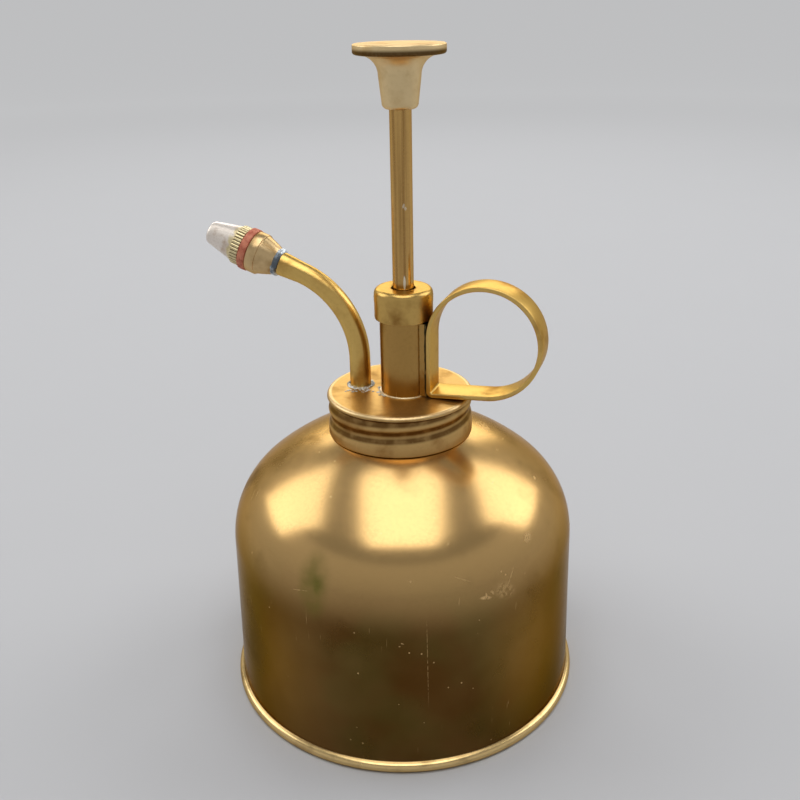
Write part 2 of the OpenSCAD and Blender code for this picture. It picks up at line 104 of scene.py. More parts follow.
def arc(centre: Point, radius: float, start: float, end: float, steps: int) -> list[Point]:
    """Points along an arc, both ends included. Lengths are in mm and angles in degrees."""
    turns = [math.radians(start + (end - start) * i / steps) for i in range(steps + 1)]
    return [(centre[0] + radius * math.cos(a), centre[1] + radius * math.sin(a)) for a in turns]


def rise(radius: float, low: float, high: float, step: float) -> list[Point]:
    """Points up a straight wall, both ends included and no further apart than a step, in mm."""
    count = max(1, math.ceil((high - low) / step))
    return [(radius, low + (high - low) * i / count) for i in range(count + 1)]


def clear_selection() -> None:
    """Deselects every object and leaves none active."""
    for each in bpy.context.selected_objects:
        each.select_set(False)
    bpy.context.view_layer.objects.active = None


def pick(piece: Piece) -> None:
    """Makes a piece the only one selected, and active."""
    clear_selection()
    piece.select_set(True)
    bpy.context.view_layer.objects.active = piece


@contextmanager
def editing(piece: Piece, everything: bool = True) -> Iterator[None]:
    """Opens a piece in edit mode and closes it afterwards.

    Args:
        piece: The piece to edit.
        everything: Whether all of it is selected on opening.
    """
    pick(piece)
    bpy.ops.object.mode_set(mode="EDIT")
    if everything:
        bpy.ops.mesh.select_all(action="SELECT")
    yield
    bpy.ops.object.mode_set(mode="OBJECT")


def choose_vertices(piece: Piece, wanted: Callable[[Vector], bool]) -> int:
    """Selects the vertices at wanted places, ready for edit mode.

    Args:
        piece: The piece, in object mode.
        wanted: Says whether the vertex at a place is wanted.

    Returns:
        How many vertices are selected.
    """
    mesh = piece.data
    mesh.polygons.foreach_set("select", [False] * len(mesh.polygons))
    mesh.edges.foreach_set("select", [False] * len(mesh.edges))
    flags = [wanted(v.co) for v in mesh.vertices]
    mesh.vertices.foreach_set("select", flags)
    return sum(flags)


def begin(name: str, add: Callable[..., object], **settings: object) -> Piece:
    """Adds a primitive as the start of a piece.

    Args:
        name: Name of the piece.
        add: The operator that adds the primitive.
        settings: Its settings.

    Returns:
        The piece, selected alone.
    """
    clear_selection()
    add(**settings)
    piece = bpy.context.active_object
    piece.name = name
    return piece


def settle() -> None:
    """Puts the selected piece's place, turn and scale in its mesh."""
    bpy.ops.object.transform_apply(location=True, rotation=True, scale=True)


def extrude(step: Vector, times: int = 1) -> None:
    """Extrudes the selection by a step in mm, a number of times."""
    for _ in range(times):
        bpy.ops.mesh.extrude_region_move(TRANSFORM_OT_translate={"value": step * MM})


def merge_and_turn_out(near: float = MERGE_NEAR) -> None:
    """Merges vertices closer than a distance in metres and points the faces outwards."""
    bpy.ops.mesh.select_all(action="SELECT")
    bpy.ops.mesh.remove_doubles(threshold=near)
    bpy.ops.mesh.normals_make_consistent(inside=False)


def draw_line(name: str, points: Sequence[Point], closed: bool) -> Piece:
    """Draws a half section in the plane y = 0, one extruded vertex at a time.

    Args:
        name: Name of the new piece.
        points: Radius and height of each corner, in mm.
        closed: Whether the last corner joins the first.

    Returns:
        A mesh of edges.
    """
    start = Vector((points[0][0], 0, points[0][1])) * MM
    piece = begin(name, bpy.ops.mesh.primitive_plane_add, size=MM, location=(0, 0, 0))
    with editing(piece):
        bpy.ops.mesh.merge(type="CENTER")
        bpy.ops.transform.translate(value=start)
        path = list(points[1:]) + ([points[0]] if closed else [])
        last = points[0]
        for point in path:
            step = Vector((point[0] - last[0], 0, point[1] - last[1])) * MM
            bpy.ops.mesh.extrude_vertices_move(TRANSFORM_OT_translate={"value": step})
            last = point
        bpy.ops.mesh.select_all(action="SELECT")
        bpy.ops.mesh.remove_doubles(threshold=MERGE_NEAR)
    return piece


def turn(
    name: str, points: Sequence[Point], closed: bool, steps: int = 128, sharp: float = 32
) -> Piece:
    """Turns a half section about the Z axis.

    Args:
        name: Name of the new piece.
        points: Radius and height of each corner, in mm.
        closed: Whether the section is a loop. An open one has both ends on the axis.
        steps: Number of segments round the axis.
        sharp: Edges that turn more than this many degrees stay sharp.

    Returns:
        The closed piece, with its normals outwards.
    """
    piece = draw_line(name, points, closed)
    with editing(piece):
        bpy.ops.mesh.spin(steps=steps, angle=math.tau, center=(0, 0, 0), axis=(0, 0, 1))
        merge_and_turn_out(2 * MERGE_NEAR)
    smooth(piece, sharp)
    return piece


def smooth(piece: Piece, sharp: float) -> None:
    """Shades a piece smooth, apart from its sharp edges."""
    pick(piece)
    bpy.ops.object.shade_smooth_by_angle(angle=math.radians(sharp))


def place(piece: Piece, where: Vector, tilt: float | None = 0.0) -> Piece:
    """Moves a piece into place and puts the place in its mesh.

    Args:
        piece: The piece, built at the origin.
        where: Its new place, in mm.
        tilt: Its turn about the Y axis, in degrees. None keeps the turn that it has.

    Returns:
        The same piece.
    """
    pick(piece)
    if tilt is not None:
        piece.rotation_euler = (0, math.radians(tilt), 0)
    piece.location = Vector(where) * MM
    settle()
    return piece


def apply_modifier(piece: Piece, kind: str, **settings: object) -> None:
    """Adds a modifier, sets it up and applies it.

    Args:
        piece: The piece.
        kind: Blender's name for the modifier's type.
        settings: Its properties.
    """
    pick(piece)
    bpy.ops.object.modifier_add(type=kind)
    modifier = piece.modifiers[-1]
    for key, value in settings.items():
        setattr(modifier, key, value)
    bpy.ops.object.modifier_apply(modifier=modifier.name)


def roughen(piece: Piece, grain: float, depth: float) -> None:
    """Makes a surface lumpy.

    Args:
        piece: The piece.
        grain: Size of the lumps, in mm.
        depth: Height of the lumps, in mm.
    """
    texture = bpy.data.textures.new(piece.name + "_lumps", "CLOUDS")
    texture.noise_scale = grain * MM
    apply_modifier(
        piece, "DISPLACE", texture=texture, texture_coords="LOCAL", strength=depth * MM, mid_level=0.5
    )


def dress(piece: Piece, finish: bpy.types.Material) -> None:
    """Gives a new piece its finish."""
    piece.data.materials.clear()
    piece.data.materials.append(finish)


def hand_over(
    piece: Piece, finish: bpy.types.Material, body: Body, slot: Slot, *nodes: str
) -> None:
    """Dresses a finished piece, gives it to its body and says which CAD nodes it stands for.

    Args:
        piece: The finished piece.
        finish: The material.
        body: The body that it rides on.
        slot: The material slot that it would take its finish from; not used.
        nodes: The CAD nodes that it replaces.
    """
    dress(piece, finish)
    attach(piece, body.value)
    if nodes:
        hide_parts(*nodes)
    LOG.info("%s: %d faces on %s", piece.name, len(piece.data.polygons), body.value)


@dataclass
class RolledThread:
    """A soft helical groove rolled into a round wall."""

    radius: float
    low: float
    high: float
    start: float
    width: float
    depth: float
    softness: int
    pitch: float = 4.2
    grooves: int = 3

    def in_groove(self, place_mm: Vector) -> bool:
        """Whether a place on the wall lies in the groove.

        Args:
            place_mm: The place, in mm.

        Returns:
            True in the groove.
        """
        if math.hypot(place_mm.x, place_mm.y) < self.radius - 0.1:
            return False
        if not self.low < place_mm.z < self.high:
            return False
        turned = math.atan2(place_mm.y, place_mm.x) / math.tau + 0.5
        foot = self.start + self.pitch * turned
        return any(abs(place_mm.z - foot - k * self.pitch) < self.width / 2 for k in range(self.grooves))

    def press(self, piece: Piece) -> None:
        """Presses the groove into a piece and softens its edges.

        Args:
            piece: A piece with a finely divided wall at this radius.
        """
        choose_vertices(piece, lambda v: self.in_groove(v / MM))
        share = (self.radius - self.depth) / self.radius
        with editing(piece, everything=False):
            bpy.ops.transform.resize(value=(share, share, 1), center_override=(0, 0, 0))
        choose_vertices(piece, self.on_wall)
        with editing(piece, everything=False):
            bpy.ops.mesh.vertices_smooth(factor=0.5, repeat=self.softness)

    def on_wall(self, where: Vector) -> bool:
        """Whether a vertex lies on the stretch of wall that is softened."""
        radius = math.hypot(where.x, where.y) / MM
        inside = self.low - 0.8 < where.z / MM < self.high + 0.1
        return inside and radius > self.radius - self.depth - 0.05


class Shader:
    """A material's nodes, with a method for each thing that the finishes need."""

    def __init__(self, name: str) -> None:
        """Starts a material with a Principled BSDF.

        Args:
            name: Name of the material.
        """
        self.material = bpy.data.materials.new(name)
        self.material.use_nodes = True
        self.tree = self.material.node_tree
        self.skin = self.tree.nodes["Principled BSDF"]
        self.place = self.node("ShaderNodeTexCoord").outputs["Object"]

    def node(self, kind: str, **settings: object) -> bpy.types.Node:
        """Adds a node.

        Args:
            kind: Blender's name for the node's type.
            settings: Its properties.

        Returns:
            The node.
        """
        made = self.tree.nodes.new(kind)
        for key, value in settings.items():
            setattr(made, key, value)
        return made

    def feed(self, socket: bpy.types.NodeSocket, value: object) -> None:
        """Links an output to a socket, or sets the socket to a constant.

        Args:
            socket: The input.
            value: An output socket, a number or a colour.
        """
        if isinstance(value, bpy.types.NodeSocket):
            self.tree.links.new(value, socket)
        elif isinstance(value, tuple) and len(value) == 3 and socket.type == "RGBA":
            socket.default_value = (*value, 1)
        else:
            socket.default_value = value

    def mapped(
        self,
        kind: str,
        where: Sequence[float] = (0, 0, 0),
        turn_deg: Sequence[float] = (0, 0, 0),
        scale: Sequence[float] = (1, 1, 1),
    ) -> object:
        """Object coordinates, moved, turned and scaled.

        Args:
            kind: POINT moves the coordinates, and TEXTURE moves what is read with them.
            where: The move, in metres.
            turn_deg: The turn about each axis, in degrees.
            scale: The scale along each axis.

        Returns:
            The vector.
        """
        made = self.node("ShaderNodeMapping", vector_type=kind)
        self.feed(made.inputs["Vector"], self.place)
        made.inputs["Location"].default_value = tuple(where)
        made.inputs["Rotation"].default_value = tuple(math.radians(a) for a in turn_deg)
        made.inputs["Scale"].default_value = tuple(scale)
        return made.outputs["Vector"]

    def stretched(self, scale: Sequence[float], turn_deg: Sequence[float] = (0, 0, 0)) -> object:
        """Object coordinates, turned and scaled."""
        return self.mapped("POINT", turn_deg=turn_deg, scale=scale)

    def noise(self, size: float, detail: float = 3, vector: object = None) -> object:
        """Noise from 0 to 1.

        Args:
            size: Size of its features in mm, or 1000 over its scale on a given vector.
            detail: Number of octaves.
            vector: Where it is read, or None for object coordinates.

        Returns:
            The value.
        """
        made = self.node("ShaderNodeTexNoise")
        self.feed(made.inputs["Vector"], self.place if vector is None else vector)
        made.inputs["Scale"].default_value = 1 / (size * MM)
        made.inputs["Detail"].default_value = detail
        return made.outputs["Fac"]

    def cells(self, size: float) -> object:
        """Distance from the nearest of many scattered points.

        Args:
            size: Distance between the points, in mm.

        Returns:
            The value, about 0 at a point and 0.5 between points.
        """
        made = self.node("ShaderNodeTexVoronoi")
        self.feed(made.inputs["Vector"], self.place)
        made.inputs["Scale"].default_value = 1 / (size * MM)
        return made.outputs["Distance"]

    def ranged(self, value: object, low: float, high: float, out: Point = (0, 1)) -> object:
        """A value taken smoothly from one range to another.

        Args:
            value: The value.
            low: Where the result is the first of out.
            high: Where the result is the second of out.
            out: The results.

        Returns:
            The result.
        """
        made = self.node("ShaderNodeMapRange", interpolation_type="SMOOTHSTEP")
        self.feed(made.inputs["Value"], value)
        for key, number in zip(("From Min", "From Max", "To Min", "To Max"), (low, high, *out)):
            made.inputs[key].default_value = number
        return made.outputs["Result"]

    def maths(self, operation: str, first: object, second: object = 0.0) -> object:
        """One sum.

        Args:
            operation: Blender's name for the sum.
            first: First value.
            second: Second value.

        Returns:
            The result.
        """
        made = self.node("ShaderNodeMath", operation=operation)
        self.feed(made.inputs[0], first)
        self.feed(made.inputs[1], second)
        return made.outputs["Value"]

    def vector_maths(self, operation: str, first: object, second: object = (0, 0, 0)) -> object:
        """One sum with vectors.

        Args:
            operation: Blender's name for the sum.
            first: First vector.
            second: Second vector.

        Returns:
            The vector, or the number that LENGTH and DOT_PRODUCT give.
        """
        made = self.node("ShaderNodeVectorMath", operation=operation)
        self.feed(made.inputs[0], first)
        self.feed(made.inputs[1], second)
        return made.outputs["Value" if operation in ("LENGTH", "DOT_PRODUCT") else "Vector"]

    def times(self, first: object, second: object) -> object:
        """One value times another."""
        return self.maths("MULTIPLY", first, second)

    def most(self, first: object, second: object) -> object:
        """The larger of two values."""
        return self.maths("MAXIMUM", first, second)

    def patches(self, size: float, detail: float, low: float, high: float, out: Point = (0, 1)) -> object:
        """Noise of a size in mm, ranged into patches."""
        return self.ranged(self.noise(size, detail), low, high, out)

    def skin_value(self, socket: str, value: object) -> None:
        """Feeds one of the skin's sockets."""
        self.feed(self.skin.inputs[socket], value)

    def mixed(self, share: object, first: object, second: object) -> object:
        """Two colours mixed.

        Args:
            share: How much of the second, from 0 to 1.
            first: First colour.
            second: Second colour.

        Returns:
            The colour.
        """
        made = self.node("ShaderNodeMix", data_type="RGBA")
        self.feed(made.inputs[0], share)
        self.feed(made.inputs[6], first)
        self.feed(made.inputs[7], second)
        return made.outputs[2]

    def height(self) -> object:
        """Height above the shelf, in metres."""
        made = self.node("ShaderNodeSeparateXYZ")
        self.feed(made.inputs["Vector"], self.place)
        return made.outputs["Z"]

    def reach(self, centre: Vector, halves: Vector, turn_deg: Vector) -> object:
        """Distance from a place, in units of a turned ellipsoid's half lengths.

        Args:
            centre: Its centre, in mm.
            halves: Its half lengths, in mm.
            turn_deg: Its turn about each axis, in degrees.

        Returns:
            The value, 1 on the ellipsoid's skin.
        """
        moved = self.mapped("TEXTURE", Vector(centre) * MM, turn_deg, Vector(halves) * MM)
        return self.vector_maths("LENGTH", moved)

    def axis_distance(self, x_mm: float = 0.0) -> object:
        """Distance from an upright axis.

        Args:
            x_mm: Where the axis stands, in mm.

        Returns:
            The distance in metres.
        """
        moved = self.mapped("TEXTURE", (x_mm * MM, 0, 0))
        return self.vector_maths("LENGTH", self.vector_maths("MULTIPLY", moved, (1, 1, 0)))

    def relief(self, layers: Sequence[tuple[object, float]]) -> None:
        """Bumps for the skin.

        Args:
            layers: Each layer's height and its depth in mm.
        """
        normal = None
        for height, depth in layers:
            made = self.node("ShaderNodeBump")
            made.inputs["Strength"].default_value = 1.0
            made.inputs["Distance"].default_value = depth * MM
            self.feed(made.inputs["Height"], height)
            if normal is not None:
                self.feed(made.inputs["Normal"], normal)
            normal = made.outputs["Normal"]
        self.skin_value("Normal", normal)

    def scratches(self, spread: float = 1.0) -> object:
        """Fine scratches that run three ways, broken into short lengths.

        Args:
            spread: How much of the surface carries them, about 1.

        Returns:
            1 in a scratch and 0 beside it.
        """
        lines = None
        for turn_deg, fine in (((35, 10, 20), 2600), ((-50, 25, 70), 3100), ((80, -30, 140), 2200)):
            along = self.stretched((fine, 120, 120), turn_deg)
            line = self.ranged(self.noise(ON_VECTOR, 2, along), 0.70, 0.74)
            patch = self.noise(9, 3, self.stretched((1, 1, 1), turn_deg))
            patch = self.ranged(patch, 0.62 - 0.06 * spread, 0.7)
            line = self.times(line, patch)
            lines = line if lines is None else self.most(lines, line)
        return lines

    def specks(self) -> object:
        """Small scattered specks: 1 in a speck and 0 beside it."""
        few = self.patches(9, 1, 0.56, 0.62)
        return self.times(self.ranged(self.cells(3.2), 0.075, 0.045), few)


@dataclass(frozen=True)
class Mark:
    """A mark on the bottle's wall: a patch, a nick or a scratch."""

    azimuth: float
    height: float
    halves: tuple[float, float, float]
    tilt: float = 0.0
    strength: float = 1.0


@dataclass(frozen=True)
class Brass:
    """Lacquered brass that has browned, with fine scratches and specks."""

    name: str
    bright: Colour
    brown: Colour
    tarnish: float = 0.5
    roughness: float = 0.26
    patch: float = 16.0
    drawn: bool = False
    lacquer: float = 0.06
    wave: float = 2.4
    wave_depth: float = 0.004
    grain_depth: float = 0.0004
    grain_share: float = 0.1
    scratch_share: float = 0.45
    scratch_depth: float = 0.008
    pale_share: float = 0.7
    spread: float = 0.14
    lacquer_roughness: float = 0.16

    def start(self) -> tuple[Shader, object, object]:
        """Lays down the metal's colour.

        Returns:
            The shader, its colour and the mask of its tarnish.
        """
        shader = Shader(self.name)
        if self.drawn:
            clouds = shader.noise(ON_VECTOR, 3, shader.stretched(DRAWN_SCALE))
        else:
            clouds = shader.noise(self.patch, 4)
        tarnish = shader.ranged(clouds, 0.62 - 0.3 * self.tarnish, 0.9 - 0.3 * self.tarnish)
        colour = shader.mixed(tarnish, self.bright, self.brown)
        return shader, colour, tarnish

    def finish(
        self, shader: Shader, colour: object, tarnish: object, marks: object = None
    ) -> bpy.types.Material:
        """Adds grain, scratches, specks, lacquer and bumps.

        Args:
            shader: The shader.
            colour: Its colour so far.
            tarnish: The mask of its tarnish.
            marks: A mask of pale marks, or None.

        Returns:
            The material.
        """
        grain = shader.noise(0.7, 2)
        scratches = shader.scratches()
        pale = shader.most(shader.times(scratches, self.scratch_share), shader.specks())
        if marks is not None:
            pale = shader.most(pale, marks)
        darker = tuple(c * 0.8 for c in self.brown)
        colour = shader.mixed(shader.ranged(grain, 0.45, 0.8, (0, self.grain_share)), colour, darker)
        paler = tuple(min(1, c * 1.35 + 0.06) for c in self.bright)
        colour = shader.mixed(shader.times(pale, self.pale_share), colour, paler)
        shader.skin_value("Base Color", colour)
        rough = shader.ranged(tarnish, 0, 1, (self.roughness, self.roughness + self.spread))
        rough = shader.maths("ADD", rough, shader.ranged(grain, 0.3, 0.7, (-0.015, 0.02)))
        rough = shader.maths("ADD", rough, shader.times(pale, 0.15))
        shader.skin_value("Roughness", rough)
        shader.skin_value("Metallic", 1.0)
        shader.skin_value("Specular Tint", EDGE_TINT)
        shader.skin_value("Coat Weight", self.lacquer)
        shader.skin_value("Coat Roughness", self.lacquer_roughness)
        waves = shader.noise(self.wave, 2)
        shader.relief([(waves, self.wave_depth), (grain, self.grain_depth), (pale, self.scratch_depth)])
        return shader.material

    def material(self) -> bpy.types.Material:
        """The plain finish."""
        shader, colour, tarnish = self.start()
        return self.finish(shader, colour, tarnish)


@dataclass(frozen=True)
class BottleBrass(Brass):
    """The bottle's brass: browner low down, partly tarnish and partly a painted dark reflection, with
    painted amber sheen on the lower wall's sides and a painted green reflection, worn bright on the rim,
    with its own marks.
    """

    marks: tuple[Mark, ...] = ()
    # Painted sheen: paler amber patches on the lower wall's sides.
    side_sheens: tuple[Mark, ...] = ()
    # Painted reflection: a green patch on the wall.
    green: Mark | None = None
    rim_top: float = 2.6

    def bottle_material(self, radius_at: Callable[[float], float]) -> bpy.types.Material:
        """The finish with the marks in place.

        Args:
            radius_at: The wall's radius at a height, both in mm.

        Returns:
            The material.
        """
        shader, colour, tarnish = self.start()
        # Painted dark reflection: the wall turns darker and browner towards the bottom, partly tarnish and
        # partly the dark surface below reflected in it.
        low_down = shader.ranged(shader.height(), 0.056, 0.036)
        waves = shader.patches(30, 3, 0.3, 0.75, (0.86, 1.0))
        tarnish_and_dark_reflection = shader.times(low_down, waves)
        lower = shader.mixed(shader.patches(19, 2, 0.42, 0.66), self.brown, OLIVE)
        # Painted sheen: paler amber patches on the lower wall's sides stand for the lighter reflection left
        # and right of the front.
        side_sheen = 0.0
        for patch in self.side_sheens:
            side_sheen = shader.most(side_sheen, self.mask(shader, patch, radius_at, 0.0, 1.0))
        side_sheen = shader.times(side_sheen, shader.patches(26, 2, 0.3, 0.6, (0.6, 1)))
        lower = shader.mixed(side_sheen, lower, AMBER_SHEEN)
        colour = shader.mixed(tarnish_and_dark_reflection, colour, lower)
        # Painted reflection: a mottled green patch on the wall.
        if self.green is not None:
            patch = self.mask(shader, self.green, radius_at, 0.2, 1.0)
            mottled = shader.patches(4.5, 2, 0.25, 0.7, (0.35, 1.0))
            colour = shader.mixed(shader.times(patch, mottled), colour, GREEN_REFLECTION)
        worn = shader.ranged(shader.height(), (self.rim_top + 0.15) * MM, (self.rim_top - 0.25) * MM)
        worn = shader.times(worn, shader.patches(5, 3, 0.25, 0.5, (0.55, 1)))
        colour = shader.mixed(worn, colour, WORN_FOOT)
        pale = None
        for mark in self.marks:
            mask = self.mask(shader, mark, radius_at, 0.35, 1.0)
            broken = shader.patches(0.9, 3, 0.38, 0.55)
            mask = shader.times(mask, broken)
            pale = mask if pale is None else shader.most(pale, mask)
        return self.finish(shader, colour, tarnish, pale)

    @staticmethod
    def mask(
        shader: Shader, mark: Mark, radius_at: Callable[[float], float], core: float, skin: float
    ) -> object:
        """Where a mark lies.

        Args:
            shader: The shader.
            mark: The mark.
            radius_at: The wall's radius at a height, both in mm.
            core: Share of its size at which it starts to fade.
            skin: Share of its size at which it is gone.

        Returns:
            Its strength in it, and 0 beside it.
        """
        turned = math.radians(mark.azimuth)
        radius = radius_at(mark.height)
        centre = Vector((radius * math.cos(turned), radius * math.sin(turned), mark.height))
        reach = shader.reach(centre, Vector(mark.halves), Vector((mark.tilt, 0, mark.azimuth)))
        return shader.ranged(reach, skin, core, (0, mark.strength))


@dataclass(frozen=True)
class CapBrass(Brass):
    """The cap's brass: painted shade in its grooves, with a bright worn rim."""

    groove_radius: float = 17.28
    skirt_radius: float = 17.6
    rim_low: float = 77.9
    rim_radius: float = 16.3

    def material(self) -> bpy.types.Material:
        """The cap's finish."""
        shader, colour, tarnish = self.start()
        away = shader.axis_distance()
        # Painted shade: the skirt's grooves, below the rim, are darkened.
        deep = shader.ranged(away, (self.skirt_radius - 0.1) * MM, self.groove_radius * MM)
        skirt = shader.ranged(away, 16.9 * MM, 17.05 * MM)
        below = shader.ranged(shader.height(), (self.rim_low + 0.15) * MM, (self.rim_low - 0.1) * MM)
        painted_shade = shader.times(shader.times(deep, skirt), below)
        painted_shade = shader.times(painted_shade, shader.patches(2.5, 3, 0.25, 0.6, (0.6, 1)))
        colour = shader.mixed(shader.times(painted_shade, 0.9), colour, GROOVE_SHADE)
        worn = shader.maths(
            "MULTIPLY",
            shader.ranged(away, (self.rim_radius + 0.1) * MM, (self.rim_radius + 0.45) * MM),
            shader.ranged(shader.height(), (self.rim_low + 0.35) * MM, (self.rim_low + 0.65) * MM),
        )
        colour = shader.mixed(shader.times(worn, 0.8), colour, WORN_CAP)
        return self.finish(shader, colour, tarnish)


@dataclass(frozen=True)
class SpottedBrass(Brass):
    """Brass with flecks of dried lime and a painted glint, and a band of painted shade round the lower part
    of an edge.
    """

    flecks: tuple[tuple[Point3, Point3, Point3, float], ...] = ()
    band: tuple[float, float] | None = None
    band_radius: float = 9.3
    band_x: float = 1.35

    def material(self) -> bpy.types.Material:
        """The finish, with its flecks, its painted glint and its band of painted shade."""
        shader, colour, tarnish = self.start()
        # Pale flecks; the one at the rod's foot is a painted glint. The flecks are made less metallic
        # further on.
        scale = 0.0
        for centre, halves, turned, strength in self.flecks:
            reach = shader.reach(Vector(centre), Vector(halves), Vector(turned))
            scale = shader.most(scale, shader.ranged(reach, 1.0, 0.6, (0, strength)))
        colour = shader.mixed(scale, colour, LIME_AND_GLINT)
        # Painted shade: the lower part of the edge round this band is darkened.
        if self.band is not None:
            low, high = self.band
            away = shader.axis_distance(self.band_x)
            away = shader.ranged(away, self.band_radius * MM, (self.band_radius + 0.3) * MM)
            below = shader.ranged(shader.height(), high * MM, low * MM)
            painted_shade = shader.times(shader.times(away, below), 0.95)
            colour = shader.mixed(painted_shade, colour, KNOB_EDGE_SHADE)
        material = self.finish(shader, colour, tarnish)
        shader.skin_value("Metallic", shader.ranged(scale, 0, 1, (1, 0.2)))
        return material


@dataclass(frozen=True)
class Fibre:
    """Vulcanised red fibre: matt, mottled and a little fuzzy."""

    name: str
    pale: Colour
    dark: Colour

    def material(self) -> bpy.types.Material:
        """The finish."""
        shader = Shader(self.name)
        mottle = shader.patches(1.2, 4, 0.35, 0.68)
        fuzz = shader.noise(0.12, 3)
        colour = shader.mixed(mottle, self.pale, self.dark)
        colour = shader.mixed(shader.ranged(fuzz, 0.55, 0.75, (0, 0.5)), colour, FUZZ)
        shader.skin_value("Base Color", colour)
        shader.skin_value("Roughness", shader.ranged(mottle, 0, 1, (0.62, 0.8)))
        shader.relief([(fuzz, 0.05), (mottle, 0.04)])
        return shader.material


@dataclass(frozen=True)
class Plating:
    """Dull white metal: nickel plating, steel or solder."""

    name: str
    clean: Colour
    stained: Colour
    roughness: float
    grain: float = 0.5
    relief_depth: float = 0.004
    stain: float = 0.5

    def material(self) -> bpy.types.Material:
        """The finish."""
        shader = Shader(self.name)
        stain = shader.patches(3.5, 4, 0.64 - 0.25 * self.stain, 0.82 - 0.25 * self.stain)
        grain = shader.noise(self.grain, 3)
        scratches = shader.scratches(1.4)
        colour = shader.mixed(stain, self.clean, self.stained)
        colour = shader.mixed(shader.ranged(grain, 0.5, 0.75, (0, 0.4)), colour, self.stained)
        shader.skin_value("Base Color", colour)
        rough = shader.ranged(grain, 0.3, 0.7, (self.roughness, self.roughness + 0.14))
        shader.skin_value("Roughness", rough)
        shader.skin_value("Metallic", 1.0)
        shader.relief([(grain, self.relief_depth), (scratches, 0.006)])
        return shader.material


@dataclass(frozen=True)
class Soft:
    """Rubber or greased leather: dark, matt and finely pored."""

    name: str
    base: Colour
    worn: Colour
    pore: float
    roughness: float
    spread: float = 0.15

    def material(self) -> bpy.types.Material:
        """The finish."""
        shader = Shader(self.name)
        pores = shader.cells(self.pore)
        clouds = shader.patches(4, 3, 0.35, 0.7)
        shader.skin_value("Base Color", shader.mixed(clouds, self.base, self.worn))
        rougher = min(1, self.roughness + self.spread)
        shader.skin_value("Roughness", shader.ranged(clouds, 0, 1, (self.roughness, rougher)))
        shader.relief([(pores, 0.04)])
        return shader.material


GOLD = (0.62, 0.395, 0.155)
# Paler amber of the painted sheen on the lower wall's sides.
AMBER_SHEEN = (0.27, 0.14, 0.028)
# Tarnish brown, made dark enough to paint the dark reflection on the lower wall.
BROWN_AND_DARK_REFLECTION = (0.10, 0.042, 0.006)
OLIVE = (0.092, 0.056, 0.009)
EDGE_TINT = (0.75, 0.58, 0.38)
# Green of the painted reflection on the wall.
GREEN_REFLECTION = (0.165, 0.15, 0.025)
WORN_FOOT = (0.78, 0.56, 0.25)
WORN_CAP = (0.80, 0.60, 0.32)
# Dark brown of the painted shade in the cap's grooves.
GROOVE_SHADE = (0.12, 0.052, 0.011)
# Dark brown of the painted shade on the knob's flange edge.
KNOB_EDGE_SHADE = (0.085, 0.038, 0.007)
# Pale colour of the flecks, one of them a painted glint.
LIME_AND_GLINT = (0.92, 0.86, 0.72)
FUZZ = (0.62, 0.36, 0.26)
NICKEL = (0.83, 0.75, 0.67)
STAINED_NICKEL = (0.58, 0.45, 0.34)
BARE_BRASS = (0.74, 0.62, 0.36)
STAINED_BRASS = (0.48, 0.36, 0.17)
# Darker colour in the knurl's grooves.
KNURL_GROOVE_DARK = (0.11, 0.075, 0.03)
GRIME = (0.40, 0.28, 0.17)

PUMP_BRASS = Brass("pump_brass", (0.43, 0.25, 0.072), (0.20, 0.097, 0.02), 0.5, 0.25, 12.0)
GLAND_BRASS = Brass("gland_brass", (0.60, 0.385, 0.115), (0.27, 0.135, 0.03), 0.5, 0.3, 8.0)
STEM_BRASS = Brass("nozzle_brass", (0.66, 0.47, 0.24), (0.40, 0.25, 0.10), 0.45, 0.3, 6.0)
TRIM_BRASS = Brass("trim_brass", (0.69, 0.455, 0.135), (0.37, 0.18, 0.038), 0.45, 0.31, 9.0)
ROD_BRASS = SpottedBrass(
    "rod_brass",
    (0.62, 0.38, 0.125),
    (0.26, 0.125, 0.035),
    0.5,
    0.19,
    drawn=True,
    flecks=(
        # Painted glint: the pale fleck at the rod's foot.
        ((2.45, -2.2, 106.2), (0.35, 0.35, 2.0), (0, 0, 0), 1.0),
        ((2.85, -1.95, 123.3), (0.35, 0.35, 0.5), (0, 0, 0), 0.45),
        ((2.5, -2.17, 123.9), (0.3, 0.3, 0.7), (0, 20, 0), 0.45),
    ),
)
KNOB_BRASS = SpottedBrass(
    "knob_brass",
    (0.80, 0.61, 0.33),
    (0.56, 0.37, 0.15),
    0.45,
    0.4,
    7.0,
    flecks=(((-2.6, -5.35, 153.6), (0.22, 0.6, 1.0), (0, 20, -20), 0.5),),
    # Painted shade on the lower part of the flange's edge.
    band=(156.1, 157.0),
)
CAP_BRASS = CapBrass(
    "cap_brass", (0.60, 0.38, 0.14), (0.36, 0.19, 0.055), 0.45, 0.36, 7.0, wave=7.0, wave_depth=0.14
)
STEEL = Plating("steel", (0.62, 0.62, 0.6), (0.36, 0.35, 0.33), 0.22)
SOLDER = Plating("solder", (0.62, 0.60, 0.54), (0.20, 0.18, 0.14), 0.36, 0.3, 0.05, 0.9)
PALE_SOLDER = Plating("gold_solder", (0.80, 0.66, 0.42), (0.40, 0.26, 0.12), 0.3, 0.4, 0.02, 0.5)
OLD_SOLDER = Plating("blue_solder", (0.62, 0.67, 0.70), (0.13, 0.15, 0.17), 0.36, 0.3, 0.03, 0.8)
